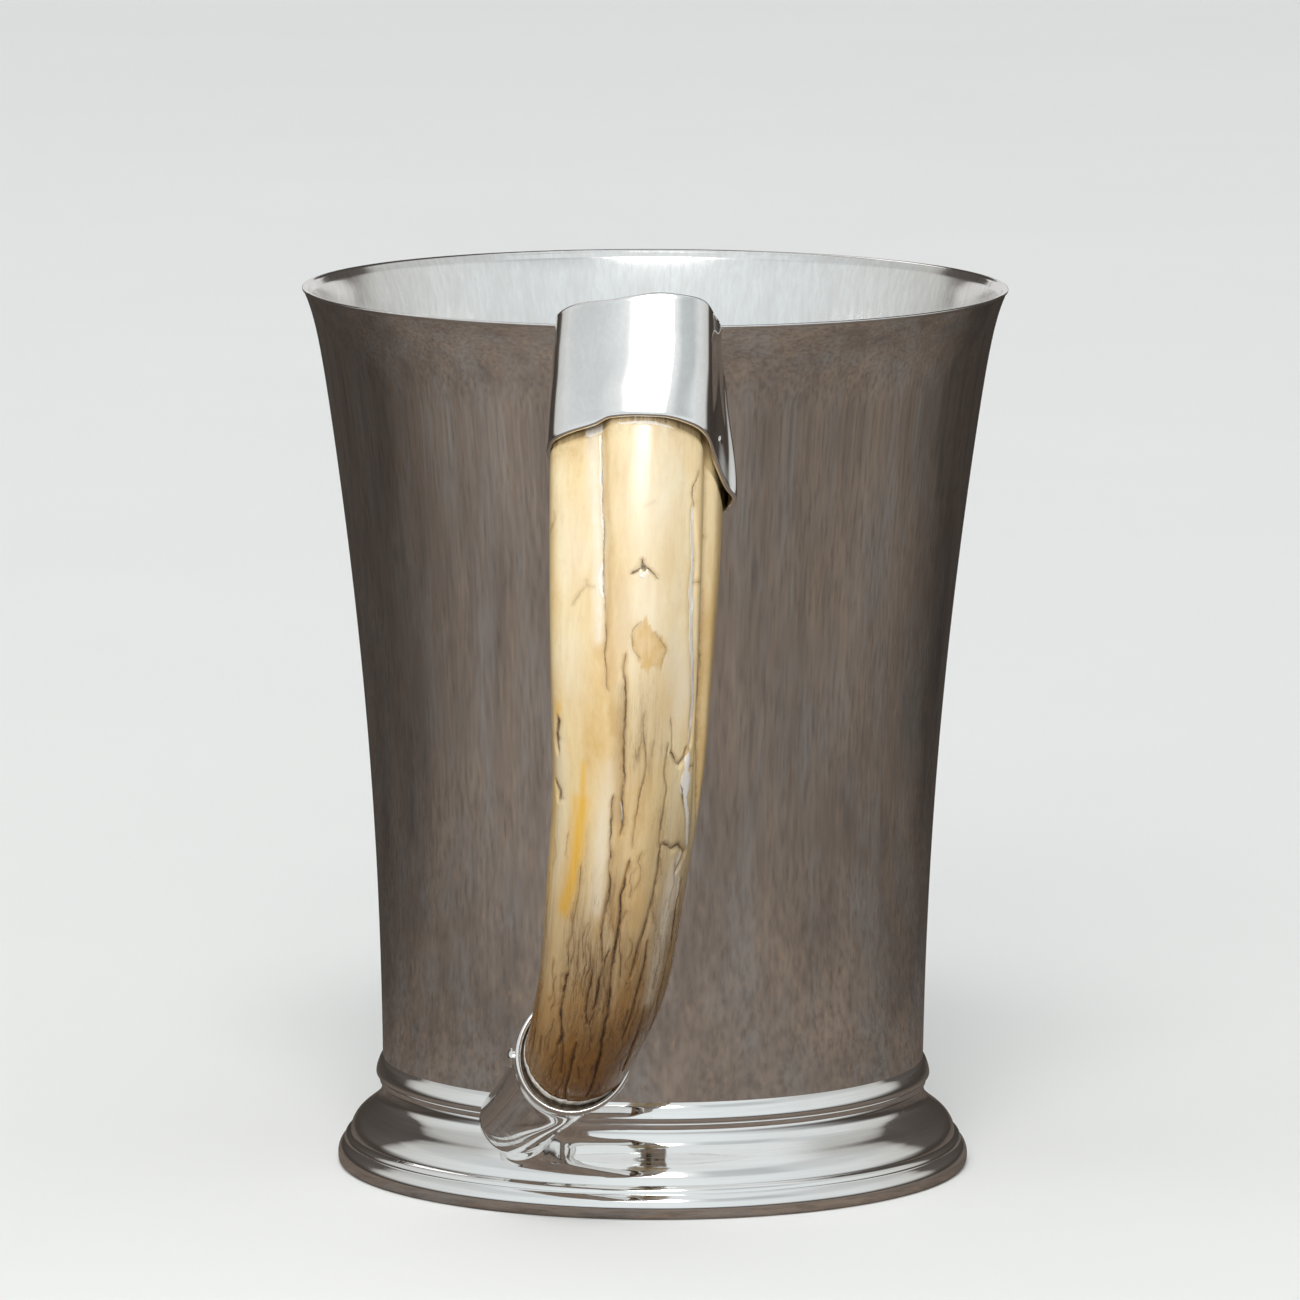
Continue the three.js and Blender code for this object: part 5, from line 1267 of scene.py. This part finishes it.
# the lamp in front: soft on its left, crisper on its right
band_up = wk.math("MULTIPLY", wk.span(rise, math.radians(32), math.radians(44), 0.0, 1.0, True),
                  wk.span(rise, math.radians(52), math.radians(61), 1.0, 0.0, True))
glow = wk.math("MULTIPLY", wk.span(turn, math.radians(-50), math.radians(-20), 0.0, 0.6, True),
               wk.span(turn, math.radians(14), math.radians(30), 1.0, 0.0, True))
sky = wk.mix(wk.math("MULTIPLY", glow, band_up), sky, (1.0, 1.04, 1.05))
lamp = wk.math("MULTIPLY", wk.span(turn, math.radians(-34), math.radians(-6), 0.0, 1.0, True),
               wk.span(turn, math.radians(11), math.radians(17), 1.0, 0.0, True))
lamp = wk.math("POWER", wk.math("MULTIPLY", lamp, band_up), 3.0)
sky = wk.mix(lamp, sky, (LAMP, LAMP, LAMP * 0.98))
bg = wk.new("ShaderNodeBackground", Color=sky, Strength=1.0)
wo = wt.nodes.new("ShaderNodeOutputWorld")
wt.links.new(bg.outputs["Background"], wo.inputs["Surface"])


def softbox(name, at, aim, width, height, radiance, colour=(1, 1, 1)):
    """A soft rectangular lamp; radiance is what a mirror would show of it."""
    data = bpy.data.lights.new(name, "AREA")
    data.shape = "RECTANGLE"
    data.size, data.size_y = width, height
    data.energy = radiance * math.pi * width * height
    data.color = colour
    ob = bpy.data.objects.new(name, data)
    bpy.context.scene.collection.objects.link(ob)
    ob.location = at
    ob.rotation_mode = "QUATERNION"
    ob.rotation_quaternion = (Vector(aim) - Vector(at)).to_track_quat("-Z", "Y")
    ob.visible_camera = False
    return ob


softbox("back_softbox", (-0.5, 1.3, 1.35), (0, 0.02, 0.08), 0.7, 0.5, 1.2)
softbox("mouth_card", (0, SHIFT_Y + 0.125, 0.1545), (0, SHIFT_Y, 0.1505), 0.17, 0.026, 0.66)
left_fill = softbox("left_fill", (-1.1, -0.9, 0.12), (-0.01, -0.06, 0.06), 0.7, 0.4, 3.0, (1.0, 0.985, 0.95))
left_fill.visible_glossy = False
fill = softbox("front_fill", (-0.2, -1.5, 0.80), (0, -0.06, 0.09), 0.9, 0.6, 5.5, (1.0, 0.985, 0.96))
fill.visible_glossy = False

cam_data = bpy.data.cameras.new("camera")
cam = bpy.data.objects.new("camera", cam_data)
bpy.context.scene.collection.objects.link(cam)
cam_data.sensor_width = 36.0
cam_data.lens = 10717.0 / 1300.0 * 36.0
cam_data.clip_start, cam_data.clip_end = 0.1, 60.0
cam.rotation_mode = "XYZ"
look = (Matrix.Rotation(math.radians(0.0223), 4, "Z") @ Matrix.Rotation(math.radians(90 - 8.2356), 4, "X")
        @ Matrix.Rotation(math.radians(0.17), 4, "Z"))
cam.matrix_world = Matrix.Translation((0.0, SHIFT_Y - 1.6815, 0.3254)) @ look
bpy.context.scene.camera = cam

view = bpy.context.scene.view_settings
view.view_transform = "Standard"
view.look = "None"
view.exposure = 0.0
